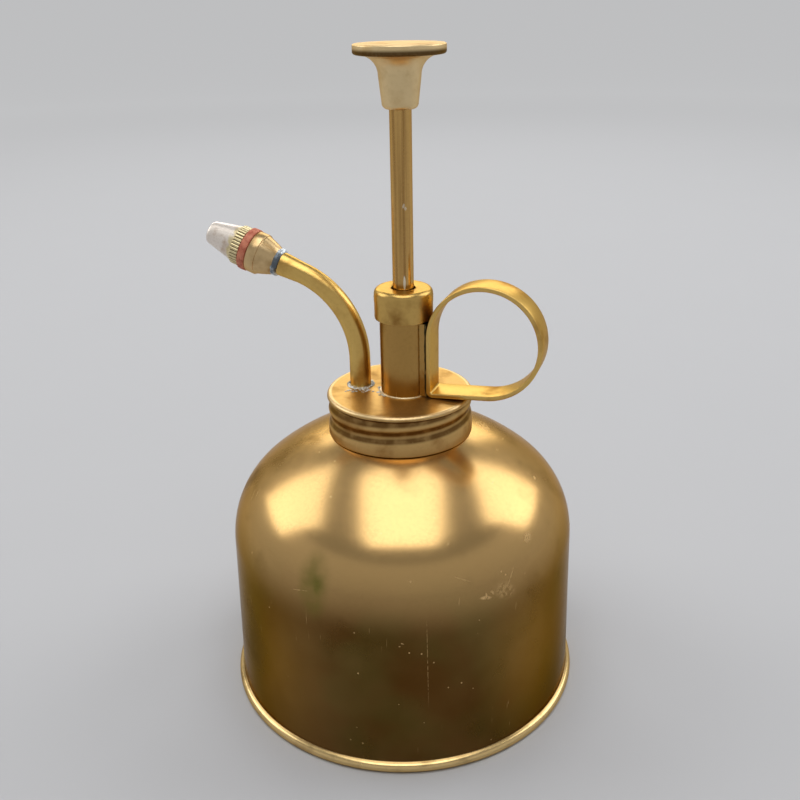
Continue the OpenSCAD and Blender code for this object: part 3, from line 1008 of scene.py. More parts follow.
# Near-black finish of the strip of painted shade beside the finger ring's leg.
SEAM_SHADE = Plating("seam_shade_sheet", (0.34, 0.22, 0.08), (0.035, 0.034, 0.016), 0.42, 0.35, 0.05, 1.3)
RED_FIBRE = Fibre("red_fibre", (0.74, 0.25, 0.14), (0.50, 0.12, 0.065))
RUBBER = Soft("seal_rubber", (0.035, 0.034, 0.033), (0.085, 0.08, 0.075), 0.5, 0.62)
LEATHER = Soft("greased_leather", (0.16, 0.075, 0.032), (0.29, 0.16, 0.08), 0.35, 0.5)


def dress_node(node: Piece, finish: bpy.types.Material) -> None:
    """Gives a CAD node that keeps its shape a finish."""
    for each in node.material_slots:
        each.material = finish
    LOG.info("%s: keeps its shape", node.name)


def drill(piece: Piece, at: Vector, radius: float, deep: float, vertices: int) -> None:
    """Drills an upright hole through a piece.

    Args:
        piece: The piece.
        at: The middle of the hole, in mm.
        radius: The hole's radius, in mm.
        deep: Its depth, half above the middle and half below, in mm.
        vertices: Number of corners round it.
    """
    add = bpy.ops.mesh.primitive_cylinder_add
    cutter = begin("drill", add, vertices=vertices, radius=radius * MM, depth=deep * MM, location=at * MM)
    apply_modifier(piece, "BOOLEAN", object=cutter, operation="DIFFERENCE", solver="EXACT")
    bpy.data.objects.remove(cutter)


@dataclass
class Bottle:
    """The drawn bottle with its rolled foot rim and neck."""

    nodes: Mapping[str, Piece]
    rim_d: float = 89.98
    rim_t: float = 2.6
    rim_proud: float = 1.3
    side_h: float = 41.5
    side_taper: float = 0.9
    bend_r: float = 22.0
    bend_turn: float = 50.0
    crown_r: float = 60.0
    sheet_t: float = 0.6
    neck_d: float = 32.6
    neck_h: float = 6.75
    neck_fillet: float = 0.6
    floor_z: float = 1.55
    segments: int = 256

    def __post_init__(self) -> None:
        """Works out the bottle's centres of curvature."""
        self.rim_r = self.rim_t / 2
        self.rim_z = self.rim_r - 0.05
        self.wall_r = self.rim_d / 2 - self.rim_proud
        self.side_r = self.wall_r - self.side_taper
        self.neck_r = self.neck_d / 2
        self.bend_c = (self.side_r - self.bend_r, self.side_h)
        turned = math.radians(self.bend_turn)
        fall = self.bend_r - self.crown_r
        self.crown_c = (
            self.bend_c[0] + fall * math.cos(turned),
            self.bend_c[1] + fall * math.sin(turned),
        )
        reach = self.crown_r + self.neck_fillet
        across = self.neck_r + self.neck_fillet - self.crown_c[0]
        self.neck_turn = math.degrees(math.acos(across / reach))
        leaned = math.radians(self.neck_turn)
        self.fillet_c = (
            self.crown_c[0] + reach * math.cos(leaned),
            self.crown_c[1] + reach * math.sin(leaned),
        )
        self.neck_top = self.fillet_c[1] + self.neck_h

    def radius_at(self, height: float) -> float:
        """The outside radius at a height, both in mm.

        Args:
            height: Height above the shelf.

        Returns:
            The radius.
        """
        if height < self.side_h:
            risen = max(0.0, height - self.rim_z) / (self.side_h - self.rim_z)
            return self.wall_r - self.side_taper * risen
        top_of_bend = self.side_h + self.bend_r * math.sin(math.radians(self.bend_turn))
        centre, radius = (
            (self.bend_c, self.bend_r) if height < top_of_bend else (self.crown_c, self.crown_r)
        )
        return centre[0] + math.sqrt(max(0.0, radius**2 - (height - centre[1]) ** 2))

    def skin(self, inset: float, neck_step: float) -> list[Point]:
        """Half section of the drawn skin, from the foot to the lip.

        Args:
            inset: Distance in from the outside, in mm.
            neck_step: Largest step up the neck, in mm.

        Returns:
            The points.
        """
        wall = [(self.radius_at(h) - inset, h) for h in (3.4, 8.0, 14.0, 20.0, 26.0, 32.0, 37.0)]
        return (
            wall
            + arc(self.bend_c, self.bend_r - inset, 0, self.bend_turn, 30)
            + arc(self.crown_c, self.crown_r - inset, self.bend_turn, self.neck_turn, 20)[1:]
            + arc(self.fillet_c, -(self.neck_fillet + inset), self.neck_turn, 0, 8)[1:]
            + rise(self.neck_r - inset, self.fillet_c[1], self.neck_top - 0.25, neck_step)[1:]
        )

    def outline(self) -> list[Point]:
        """The closed half section of the sheet and its rolled rim."""
        bead = (self.rim_d / 2 - self.rim_r, self.rim_z)
        lip = [
            (self.neck_r - 0.06, self.neck_top - 0.07),
            (self.neck_r - 0.2, self.neck_top),
            (self.neck_r - self.sheet_t + 0.2, self.neck_top),
            (self.neck_r - self.sheet_t + 0.06, self.neck_top - 0.07),
        ]
        outside = (
            arc(bead, self.rim_r, -73.7, 80, 16)
            + [(self.wall_r + 0.02, self.rim_t + 0.06), (self.wall_r - 0.03, self.rim_t + 0.35)]
            + self.skin(0, 0.25)
        )
        inside = self.skin(self.sheet_t, 3.0)[::-1] + [(self.wall_r - self.sheet_t, self.floor_z + 0.25)]
        return outside + lip + inside + arc(bead, self.rim_r, 148, 253.7, 10)

    def build(self) -> None:
        """Models the bottle and dresses it and its base."""
        shell = turn("bottle", self.outline(), closed=True, steps=self.segments, sharp=40)
        RolledThread(
            self.neck_r, 70.3, 75.5, start=67.2, width=1.7, depth=0.36, softness=12
        ).press(shell)
        finish = BottleBrass(
            "bottle_brass",
            GOLD,
            BROWN_AND_DARK_REFLECTION,
            tarnish=0.3,
            roughness=0.23,
            patch=22.0,
            grain_share=0.03,
            marks=(
                Mark(-44.8, 44.6, (0.8, 1.9, 0.6), -12, 1.0),
                Mark(-44.5, 44.9, (0.8, 0.3, 1.2), 12, 1.0),
                Mark(-42.5, 45.3, (0.8, 0.5, 0.9), 30, 0.7),
                Mark(-37.9, 44.8, (1.5, 3.8, 2.6), -30, 0.4),
                Mark(-35.0, 47.5, (1.5, 0.2, 3.0), -35, 0.7),
                Mark(-63.3, 31.0, (0.8, 0.12, 17.0), 0.5, 0.45),
                Mark(-71.6, 35.4, (0.8, 0.45, 0.4), 0, 1.0),
                Mark(-70.6, 35.9, (0.8, 0.6, 0.2), -30, 1.0),
                Mark(-64.6, 14.0, (0.8, 0.2, 0.4), 10, 1.0),
                Mark(27.7, 67.2, (3.0, 4.0, 2.0), 0, 0.5),
                Mark(1.8, 59.2, (1.0, 0.9, 0.3), 20, 0.9),
                Mark(-103.1, 45.5, (1.0, 3.0, 0.15), 12, 0.5),
                Mark(-24.3, 53.0, (1.5, 2.2, 1.4), 15, 0.45),
                Mark(-52.0, 50.0, (1.0, 3.2, 0.12), -25, 0.6),
                Mark(140.0, 30.0, (1.0, 0.15, 5.0), 25, 0.6),
                Mark(95.0, 22.0, (1.0, 2.4, 1.5), 10, 0.4),
            ),
            # Painted sheen: paler amber patches on the lower wall's sides.
            side_sheens=(
                Mark(-27.0, 26.0, (20.0, 18.0, 34.0), 0, 1.0),
                Mark(-112.0, 20.0, (20.0, 16.0, 30.0), 0, 0.8),
                Mark(30.0, 18.0, (20.0, 22.0, 18.0), 0, 0.6),
                Mark(105.0, 28.0, (20.0, 26.0, 26.0), 0, 0.8),
                Mark(170.0, 16.0, (20.0, 20.0, 20.0), 0, 0.7),
            ),
            # Painted reflection: the green patch.
            green=Mark(-98.6, 48.0, (6.0, 5.0, 11.0), 0, 0.85),
        )
        metal = finish.bottle_material(self.radius_at)
        hand_over(shell, metal, Body.BOTTLE, Slot.BODY, "bottle_shell")
        dress_node(self.nodes["base_disc"], metal)


@dataclass
class ScrewCap:
    """The screw cap with its rolled thread and bright rim."""

    bore_r: float = 16.36
    skirt_r: float = 17.61
    low: float = 69.51
    inside: float = 77.72
    top: float = 78.818
    rim_r: float = 17.7
    rim_h: float = 1.2
    rim_round: float = 0.85
    holes: tuple[tuple[float, float], ...] = ((1.35, 5.6), (-10.2, 2.4))
    segments: int = 288

    def outline(self) -> list[Point]:
        """The half section, from the axis under the top to the axis above it."""
        bead = (self.rim_r - self.rim_round, self.top - self.rim_round)
        return (
            [(0, self.inside), (self.bore_r, self.inside), (self.bore_r, self.low + 0.2)]
            + [(self.bore_r + 0.5, self.low - 0.48), (self.bore_r + 0.95, self.low - 0.69)]
            + [(self.skirt_r - 0.1, self.low - 0.76)]
            + rise(self.skirt_r, self.low - 0.66, self.top - self.rim_h, 0.2)
            + arc(bead, self.rim_round, -20, 90, 16)
            + [(r, self.top - 0.03) for r in (15.6, 13.0, 9.0, 5.0, 0.0)]
        )

    def build(self) -> None:
        """Models and dresses the cap."""
        cap = turn("screw_cap_rolled", self.outline(), closed=False, steps=self.segments, sharp=50)
        RolledThread(
            self.skirt_r, 71.6, 77.85, start=68.2, width=2.3, depth=0.65, softness=40
        ).press(cap)
        for x, radius in self.holes:
            drill(cap, Vector((x, 0, self.top)), radius, 6.0, 96)
        smooth(cap, 50)
        hand_over(cap, CAP_BRASS.material(), Body.HEAD, Slot.CAP, "screw_cap")


@dataclass
class Solder:
    """Solder run round a foot: a lumpy ring."""

    name: str
    at: tuple[float, float, float]
    ring_r: float
    thick: float
    height: float
    lump: float
    tilt: float = 0.0
    finish: Plating = SOLDER

    def build(self) -> None:
        """Models, dresses and places the ring."""
        ring = begin(
            self.name,
            bpy.ops.mesh.primitive_torus_add,
            major_radius=self.ring_r * MM,
            minor_radius=self.thick * MM,
            major_segments=96,
            minor_segments=16,
        )
        with editing(ring):
            bpy.ops.transform.resize(value=(1, 1, self.height / self.thick), center_override=(0, 0, 0))
        roughen(ring, 1.1, self.lump)
        roughen(ring, 0.35, self.lump * 0.4)
        smooth(ring, 60)
        place(ring, Vector(self.at), self.tilt)
        hand_over(ring, self.finish.material(), Body.HEAD, Slot.STEEL)


@dataclass
class Pump:
    """The barrel with its gland cap, on the pump's axis."""

    x: float = 1.35
    barrel_r: float = 5.75
    bore_r: float = 5.05
    barrel_low: float = 47.53
    barrel_top: float = 101.62
    gland_low: float = 97.33
    gland_top: float = 104.628
    gland_r: float = 6.9
    gland_hole_r: float = 2.85
    crown_t: float = 1.4
    edge_r: float = 1.3
    vent_at: float = 4.5
    vent_turn: float = -45.0
    vent_r: float = 0.4
    cap_top: float = 78.818

    def barrel(self) -> None:
        """Models the tube."""
        low, top, edge = self.barrel_low, self.barrel_top, 0.12
        outline = [
            (self.bore_r + edge, low),
            (self.barrel_r - edge, low),
            (self.barrel_r, low + edge),
            (self.barrel_r, top - edge),
            (self.barrel_r - edge, top),
            (self.bore_r + edge, top),
            (self.bore_r, top - edge),
            (self.bore_r, low + edge),
        ]
        tube = place(turn("pump_tube", outline, closed=True, steps=96), Vector((self.x, 0, 0)))
        hand_over(tube, PUMP_BRASS.material(), Body.HEAD, Slot.PUMP, "pump_barrel")

    def gland(self) -> None:
        """Models the gland cap and drills its vent."""
        low, top, r, hole = self.gland_low, self.gland_top, self.gland_r, self.gland_hole_r
        bead_top = top - self.edge_r
        inner = self.barrel_r + 0.06
        outline = (
            [(inner, low), (r - 0.25, low), (r - 0.07, low + 0.08), (r, low + 0.3)]
            + [(r, bead_top - 2.15), (r + 0.02, bead_top - 2.02), (r + 0.055, bead_top - 1.85)]
            + [(r + 0.055, bead_top - 0.5), (r + 0.02, bead_top - 0.3), (r, bead_top - 0.15)]
            + arc((r - self.edge_r, bead_top), self.edge_r, 0, 90, 14)
            + [(hole + 0.5, top), (hole + 0.15, top - 0.05), (hole, top - 0.2)]
            + [(hole, top - self.crown_t), (inner, top - self.crown_t)]
        )
        gland = place(turn("gland", outline, closed=True, steps=128, sharp=38), Vector((self.x, 0, 0)))
        turned = math.radians(self.vent_turn)
        across = self.vent_at * Vector((math.cos(turned), math.sin(turned), 0))
        drill(gland, Vector((self.x, 0, top)) + across, self.vent_r, 3.0, 24)
        smooth(gland, 38)
        hand_over(gland, GLAND_BRASS.material(), Body.HEAD, Slot.PUMP, "gland_cap")

    def build(self) -> None:
        """Models the barrel, its gland cap and its solder."""
        self.barrel()
        self.gland()
        at = (self.x, 0, self.cap_top)
        Solder("solder_barrel", at, self.barrel_r + 0.1, 0.3, 0.28, 0.12, finish=PALE_SOLDER).build()


@dataclass
class FingerRing:
    """The strap bent into a finger ring, with a leg and a foot."""

    leg_x: float = 7.8
    ring_r: float = 13.7
    ring_z: float = 93.418
    bend_r: float = 1.6
    width: float = 7.0
    thick: float = 1.1
    lift: float = 0.9
    edge: float = 0.28
    steps: int = 4
    seam_low: float = 78.95
    seam_high: float = 97.0

    def build(self) -> None:
        """Models the strap by drawing its section along the leg, the ring and the foot."""
        corner_turn = math.degrees(math.atan(1 + self.lift / self.ring_r))
        foot_turn = 2 * corner_turn - 90
        centre = Vector((self.leg_x + self.ring_r, 0, self.ring_z))
        slope = math.tan(math.radians(corner_turn))
        corner = -(self.ring_r - self.bend_r) * Vector((1, 0, slope)) + centre
        middle = Vector((self.leg_x + self.thick / 2, 0, corner.z)) * MM
        strap = begin("finger_strap", bpy.ops.mesh.primitive_plane_add, size=MM, location=middle)
        settle()
        with editing(strap):
            bpy.ops.transform.resize(value=(self.thick, self.width, 1), center_override=middle)
            bpy.ops.mesh.bevel(offset=self.edge * MM, segments=4, affect="VERTICES")
            bpy.ops.mesh.delete(type="ONLY_FACE")
            bpy.ops.mesh.select_all(action="SELECT")
            extrude(Vector((0, 0, (self.ring_z - corner.z) / self.steps)), self.steps)
            bpy.ops.mesh.spin(
                steps=132, angle=math.radians(270 - foot_turn), center=centre * MM, axis=(0, -1, 0)
            )
            leaned = math.radians(foot_turn)
            outwards = Vector((math.sin(leaned), 0, -math.cos(leaned)))
            tangent = centre + self.ring_r * outwards
            bend_end = corner + self.bend_r * outwards
            extrude((bend_end - tangent) / self.steps, self.steps)
            bpy.ops.mesh.spin(
                steps=14, angle=math.radians(90 + foot_turn), center=corner * MM, axis=(0, -1, 0)
            )
            merge_and_turn_out(30 * MERGE_NEAR)
        smooth(strap, 40)
        hand_over(strap, TRIM_BRASS.material(), Body.HEAD, Slot.TRIM, "finger_ring")
        self.seam()

    def seam(self) -> None:
        """Models the brazing between the leg and the barrel, and a dark strip of painted shade beside it.
        """
        low, high = self.seam_low, self.seam_high
        for name, near, far, half_y, lump, finish, slot in (
            ("brazed_fillet", 6.0, 7.62, 3.1, 0.12, PUMP_BRASS, Slot.PUMP),
            # Painted shade: a dark strip where the leg stands off the barrel.
            ("shade_line", 7.45, 7.9, 3.2, 0.3, SEAM_SHADE, Slot.STEEL),
        ):
            middle = Vector(((near + far) / 2, 0, (low + high) / 2)) * MM
            seam = begin(name, bpy.ops.mesh.primitive_cube_add, size=MM, location=middle)
            settle()
            with editing(seam):
                size = (far - near, 2 * half_y, high - low)
                bpy.ops.transform.resize(value=size, center_override=middle)
                bpy.ops.mesh.subdivide(number_cuts=30)
            roughen(seam, 1.6, lump)
            roughen(seam, 0.5, lump / 2)
            smooth(seam, 60)
            hand_over(seam, finish.material(), Body.HEAD, slot)


@dataclass
class Spout:
    """The bent tube that carries the nozzle."""

    x: float = -10.2
    foot_z: float = 51.51
    tube_r: float = 2.55
    wall: float = 0.8
    end_r: float = 2.85
    start_z: float = 85.718
    bend_r: float = 21.5
    turn_deg: float = 70.3
    end: float = 6.6
    straight: float = 2.0
    flare_steps: int = 4
    in_nozzle: float = 2.95
    cap_top: float = 78.75
    barrel_x: float = 1.35
    beads: int = 42
    seed: int = 7
    direction: Vector = field(init=False)
    bend_centre: Vector = field(init=False)
    bend_end: Vector = field(init=False)
    nozzle_at: Vector = field(init=False)

    def __post_init__(self) -> None:
        """Works out the tube's path."""
        turned = math.radians(self.turn_deg)
        self.direction = Vector((-math.sin(turned), 0, math.cos(turned)))
        self.bend_centre = Vector((self.x - self.bend_r, 0, self.start_z))
        self.bend_end = self.bend_centre + self.bend_r * Vector((math.cos(turned), 0, math.sin(turned)))
        self.nozzle_at = self.bend_end + self.end * self.direction

    def build(self) -> None:
        """Models the tube by drawing a circle along its path."""
        add = bpy.ops.mesh.primitive_circle_add
        tube = begin("spout_bent", add, vertices=56, radius=self.tube_r * MM)
        place(tube, Vector((self.x, 0, self.foot_z)))
        flare = self.end - self.straight
        with editing(tube):
            extrude(Vector((0, 0, self.start_z - self.foot_z)))
            bpy.ops.mesh.spin(
                steps=44, angle=math.radians(self.turn_deg), center=self.bend_centre * MM, axis=(0, 1, 0)
            )
            here = self.bend_end.copy()
            share = (self.end_r / self.tube_r) ** (1 / self.flare_steps)
            for _ in range(self.flare_steps):
                step = self.direction * flare / self.flare_steps
                here += step
                extrude(step)
                bpy.ops.transform.resize(value=(share, share, share), center_override=here * MM)
            extrude(self.direction * (self.end - flare + self.in_nozzle))
            merge_and_turn_out()
        apply_modifier(tube, "SOLIDIFY", thickness=self.wall * MM, offset=-1.0)
        smooth(tube, 40)
        hand_over(tube, TRIM_BRASS.material(), Body.HEAD, Slot.TRIM, "spout_tube")
        Solder("solder_spout", (self.x, 0, self.cap_top), self.tube_r + 0.3, 0.62, 0.4, 0.62).build()
        self.spatter()

    def spatter(self) -> None:
        """Models the beads of solder that ran off the spout's foot."""
        random = Random(self.seed)
        beads = []
        for number in range(self.beads):
            by_barrel = number % 3 == 0
            turned = math.radians(random.uniform(-165, -115) if by_barrel else random.uniform(-110, 5))
            away = random.uniform(5.9, 6.9) if by_barrel else self.tube_r + random.uniform(0.5, 3.4)
            middle_x = self.barrel_x if by_barrel else self.x
            size = random.uniform(0.16, 0.42)
            add = bpy.ops.mesh.primitive_ico_sphere_add
            bead = begin("bead", add, subdivisions=2, radius=size * MM)
            with editing(bead):
                stretch = random.uniform(0.8, 1.7)
                bpy.ops.transform.resize(value=(stretch, 1, 0.5), center_override=(0, 0, 0))
            x, y = middle_x + away * math.cos(turned), away * math.sin(turned)
            beads.append(place(bead, Vector((x, y, self.cap_top + 0.03))))
        pick(beads[0])
        for bead in beads:
            bead.select_set(True)
        bpy.ops.object.join()
        spatter = bpy.context.active_object
        spatter.name = "solder_spatter"
        smooth(spatter, 60)
        hand_over(spatter, SOLDER.material(), Body.HEAD, Slot.STEEL)


@dataclass
class Nozzle:
    """The nozzle: a soldered body, a fibre washer and a knurled cap. Heights run along its axis."""

    at: Vector
    turn_deg: float
    washer_low: float = 6.63
    washer_top: float = 8.53
    washer_r: float = 5.3
    spigot_r: float = 3.2
    knurl_low: float = 8.56
    knurl_top: float = 10.96
    knurl_r: float = 4.85
    knurl_depth: float = 0.2
    ridges: int = 36
    tip: float = 18.75
    ragged: float = 0.6

    def put(self, piece: Piece) -> Piece:
        """Puts a piece that was turned on the Z axis on the nozzle's axis."""
        return place(piece, self.at, -self.turn_deg)

    def body(self) -> None:
        """Models the soldered body."""
        outline = (
            [(1.6, 3.0), (2.87, 3.0), (2.87, 0.0), (3.1, 0.0), (3.28, 0.08), (3.42, 0.3)]
            + [(3.78, 1.2), (4.15, 2.2), (4.5, 3.2), (4.74, 3.9), (4.8, 4.06)]
            + [(4.82, 4.16), (4.98, 4.2), (5.05, 4.35), (5.05, 6.4), (4.98, 6.54), (4.85, 6.6)]
            + [(self.spigot_r, 6.6), (self.spigot_r, 12.7), (3.0, 12.8), (1.6, 12.8)]
        )
        piece = self.put(turn("nozzle_stem", outline, closed=True, steps=96))
        hand_over(piece, STEM_BRASS.material(), Body.HEAD, Slot.PUMP, "nozzle_body")

    def washer(self) -> None:
        """Models the fibre washer, with its soft uneven edge."""
        low, top, r, hole = self.washer_low, self.washer_top, self.washer_r, self.spigot_r + 0.06
        outline = (
            [(hole, low), (4.2, low)]
            + arc((r - 0.4, low + 0.4), 0.4, -90, -10, 5)
            + [(r, low + 0.95)]
            + arc((r - 0.4, top - 0.4), 0.4, 10, 90, 5)
            + [(4.2, top), (hole, top)]
        )
        piece = turn("fibre_ring", outline, closed=True, steps=120, sharp=50)
        choose_vertices(piece, lambda v: math.hypot(v.x, v.y) > (r - 0.05) * MM)
        with editing(piece, everything=False):
            share = 1 - 0.06 / r
            bpy.ops.transform.resize(value=(share, share, 1), center_override=(0, 0, 0))
        roughen(piece, 1.3, 0.05)
        self.put(piece)
        hand_over(piece, RED_FIBRE.material(), Body.FIBRE_WASHER, Slot.FIBRE, "nozzle_washer")

    def cap(self) -> None:
        """Models the knurled cap and its cone."""
        low, top, r = self.knurl_low, self.knurl_top, self.knurl_r
        bore = self.spigot_r + 0.06
        tip_edge = arc((1.8, self.tip - 1.1), 1.1, 15, 90, 10)
        cone_foot, cone_end = (r - 0.4, top), tip_edge[0]
        cone = [
            (
                cone_foot[0] + (cone_end[0] - cone_foot[0]) * t / 10,
                cone_foot[1] + (cone_end[1] - cone_foot[1]) * t / 10,
            )
            for t in range(10)
        ]
        outline = (
            [(bore, low), (r - 0.22, low), (r, low + 0.22), (r, low + 0.8), (r, top - 0.8)]
            + [(r, top - 0.22), (r - 0.22, top)]
            + cone
            + tip_edge
            + [(0.75, self.tip), (0.5, self.tip - 0.06), (0.4, self.tip - 0.2), (0.4, 17.3)]
            + [(2.6, 13.4), (bore, 13.3)]
        )
        steps = self.ridges * 6
        piece = turn("nozzle_tip", outline, closed=True, steps=steps, sharp=35)
        for offsets, depth in (((0,), self.knurl_depth), ((1, 5), self.knurl_depth * 0.35)):
            share = (r - depth) / r

            def in_groove(v: Vector) -> bool:
                """Whether a vertex lies in a groove of the knurl."""
                radius = math.hypot(v.x, v.y) / MM
                step = round(math.atan2(v.y, v.x) / math.tau * steps) % 6
                return low - 0.01 < v.z / MM < top + 0.01 and radius > r - 0.3 and step in offsets

            choose_vertices(piece, in_groove)
            with editing(piece, everything=False):
                bpy.ops.transform.resize(value=(share, share, 1), center_override=(0, 0, 0))
        smooth(piece, 28)
        self.put(piece)
        hand_over(piece, self.tip_finish(), Body.NOZZLE, Slot.NICKEL, "nozzle_cap")

    def tip_finish(self) -> bpy.types.Material:
        """Nickel on the cone, worn through to yellow brass on the knurl.

        Returns:
            The material.
        """
        shader = Shader("worn_nickel")
        axis = Vector((-math.sin(math.radians(self.turn_deg)), 0, math.cos(math.radians(self.turn_deg))))
        along = shader.vector_maths("DOT_PRODUCT", shader.place, axis)
        knurl_end = self.at.dot(axis) + self.knurl_top
        ragged = shader.patches(1.5, 3, 0.3, 0.7, (-self.ragged * MM, self.ragged * MM))
        edge = shader.maths("ADD", along, ragged)
        bare = shader.ranged(edge, (knurl_end + 1.1) * MM, (knurl_end + 0.1) * MM)
        stain = shader.patches(3.0, 4, 0.5, 0.75)
        grain = shader.noise(0.5, 3)
        nickel = shader.mixed(stain, NICKEL, STAINED_NICKEL)
        brass = shader.mixed(stain, BARE_BRASS, STAINED_BRASS)
        moved = shader.vector_maths("SUBTRACT", shader.place, self.at * MM)
        away = shader.vector_maths("LENGTH", shader.vector_maths("CROSS_PRODUCT", moved, axis))
        # Darker in the knurl's grooves.
        cut = (self.knurl_r - self.knurl_depth) * MM
        deep = shader.ranged(away, self.knurl_r * MM - 0.00004, cut + 0.00002)
        knurled = shader.ranged(along, knurl_end * MM, (knurl_end - 0.15) * MM)
        brass = shader.mixed(shader.times(deep, knurled), brass, KNURL_GROOVE_DARK)
        colour = shader.mixed(bare, nickel, brass)
        colour = shader.mixed(shader.ranged(grain, 0.5, 0.75, (0, 0.18)), colour, GRIME)
        shader.skin_value("Base Color", colour)
        shader.skin_value("Roughness", shader.ranged(grain, 0.3, 0.7, (0.34, 0.46)))
        shader.skin_value("Metallic", 1.0)
        shader.relief([(grain, 0.002), (shader.scratches(1.4), 0.008)])
        return shader.material

    def build(self) -> None:
        """Models the nozzle's three pieces and its solder."""
        self.body()
        self.washer()
        self.cap()
        Solder(
            "solder_nozzle", tuple(self.at), 2.78, 0.62, 1.2, 0.4, -self.turn_deg, OLD_SOLDER
        ).build()


@dataclass
class Plunger:
    """The rod with its thumb knob, and the spring that returns it."""

    x: float = 1.35
    rod_r: float = 2.45
    rod_low: float = 101.13
    tail_r: float = 1.3
    tail_low: float = 94.43
    knob_z: float = 144.33
    knob_h: float = 13.295
    knob_r: float = 10.0
    flange_t: float = 2.3
    flange_edge: float = 0.62
    foot_r: float = 3.8
    foot_edge: float = 1.25
    stem_r: float = 4.65
    crown_t: float = 3.0
    spring_low: float = 48.56
    spring_high: float = 97.40
    spring_r: float = 3.61
    wire_r: float = 0.4
    spring_turns: int = 9
    stroke: float = 39.3

    def rod(self) -> None:
        """Models the rod and its tail."""
        top = self.knob_z + self.knob_h - self.crown_t
        outline = (
            [(0, self.tail_low), (self.tail_r - 0.2, self.tail_low), (self.tail_r, self.tail_low + 0.2)]
            + [(self.tail_r, self.rod_low), (self.rod_r - 0.15, self.rod_low)]
            + [(self.rod_r, self.rod_low + 0.15), (self.rod_r, top), (0, top)]
        )
        piece = place(turn("push_rod", outline, closed=False, steps=72), Vector((self.x, 0, 0)))
        hand_over(piece, ROD_BRASS.material(), Body.PLUNGER, Slot.ROD, "plunger_rod")

    def knob(self) -> None:
        """Models the thumb knob."""
        top, edge = self.knob_z + self.knob_h, self.flange_edge
        hole = self.rod_r + 0.02
        flare_r = self.knob_r - 1.15 - self.stem_r - 0.1
        flare_z = top - self.flange_t - flare_r
        foot = (self.foot_r + 0.2 - self.foot_edge, self.knob_z + self.foot_edge)
        outline = (
            [(0, top - self.crown_t), (hole, top - self.crown_t), (hole, self.knob_z)]
            + arc(foot, self.foot_edge, -90, -10, 10)
            + arc((self.stem_r + flare_r, flare_z), flare_r, 180, 96, 22)
            + [(self.knob_r - 1.2, top - self.flange_t + 0.02)]
            + arc((self.knob_r - edge, top - self.flange_t + edge + 0.12), edge, -75, 0, 8)
            + arc((self.knob_r - 0.4, top - 0.4), 0.4, 0, 90, 7)
            + [(self.knob_r - 1.0, top - 0.02), (self.knob_r - 2.0, top - 0.08)]
            + [(4.0, top - 0.12), (0, top - 0.12)]
        )
        piece = place(turn("knob", outline, closed=False, steps=128, sharp=45), Vector((self.x, 0, 0)))
        hand_over(piece, KNOB_BRASS.material(), Body.PLUNGER, Slot.KNOB, "thumb_knob")

    def spring(self) -> None:
        """Models the return spring at rest; the real one squashes as the plunger goes down."""
        span = self.spring_high - self.spring_low - 2 * self.wire_r
        wire = begin(
            "spring_wire",
            bpy.ops.mesh.primitive_circle_add,
            vertices=8,
            radius=self.wire_r * MM,
            rotation=(math.pi / 2, 0, 0),
        )
        place(wire, Vector((self.spring_r, 0, 0)), tilt=None)
        apply_modifier(
            wire,
            "SCREW",
            axis="Z",
            angle=math.tau,
            screw_offset=span * MM / self.spring_turns,
            iterations=self.spring_turns,
            steps=20,
            render_steps=20,
            use_merge_vertices=False,
        )
        with editing(wire, everything=False):
            bpy.ops.mesh.select_all(action="DESELECT")
            bpy.ops.mesh.select_non_manifold()
            bpy.ops.mesh.edge_face_add()
            bpy.ops.mesh.select_all(action="SELECT")
            bpy.ops.mesh.normals_make_consistent(inside=False)
        place(wire, Vector((self.x, 0, self.spring_low + self.wire_r)))
        smooth(wire, 60)
        hand_over(wire, STEEL.material(), Body.HEAD, Slot.STEEL, "return_spring")
        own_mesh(wire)

    def build(self) -> None:
        """Models the rod, the knob and the spring."""
        self.rod()
        self.knob()
        self.spring()


@dataclass
class Works:
    """The pieces inside the pump and bottle, which keep their CAD shape."""

    nodes: Mapping[str, Piece]
    brass: tuple[str, ...] = ("valve_body", "spring_disc", "piston_plate")
    tubes: tuple[str, ...] = ("dip_tube", "strainer")
    steel: tuple[str, ...] = ("inlet_ball", "outlet_ball", "clamp_washer", "piston_nut", "swirl_core")
    leather: tuple[str, ...] = ("rod_guide", "piston_cup")
    rubber: tuple[str, ...] = ("cap_seal",)

    def build(self) -> None:
        """Dresses the nodes."""
        for names, finish in (
            (self.brass, PUMP_BRASS),
            (self.tubes, TRIM_BRASS),
            (self.steel, STEEL),
            (self.leather, LEATHER),
            (self.rubber, RUBBER),
        ):
            metal = finish.material()
            for name in names:
                dress_node(self.nodes[name], metal)


@dataclass(frozen=True)
class Lamp:
    """A softbox aimed at the mister."""

    name: str
    azimuth: float
    elevation: float
    distance: float
    width: float
    height: float
    power: float


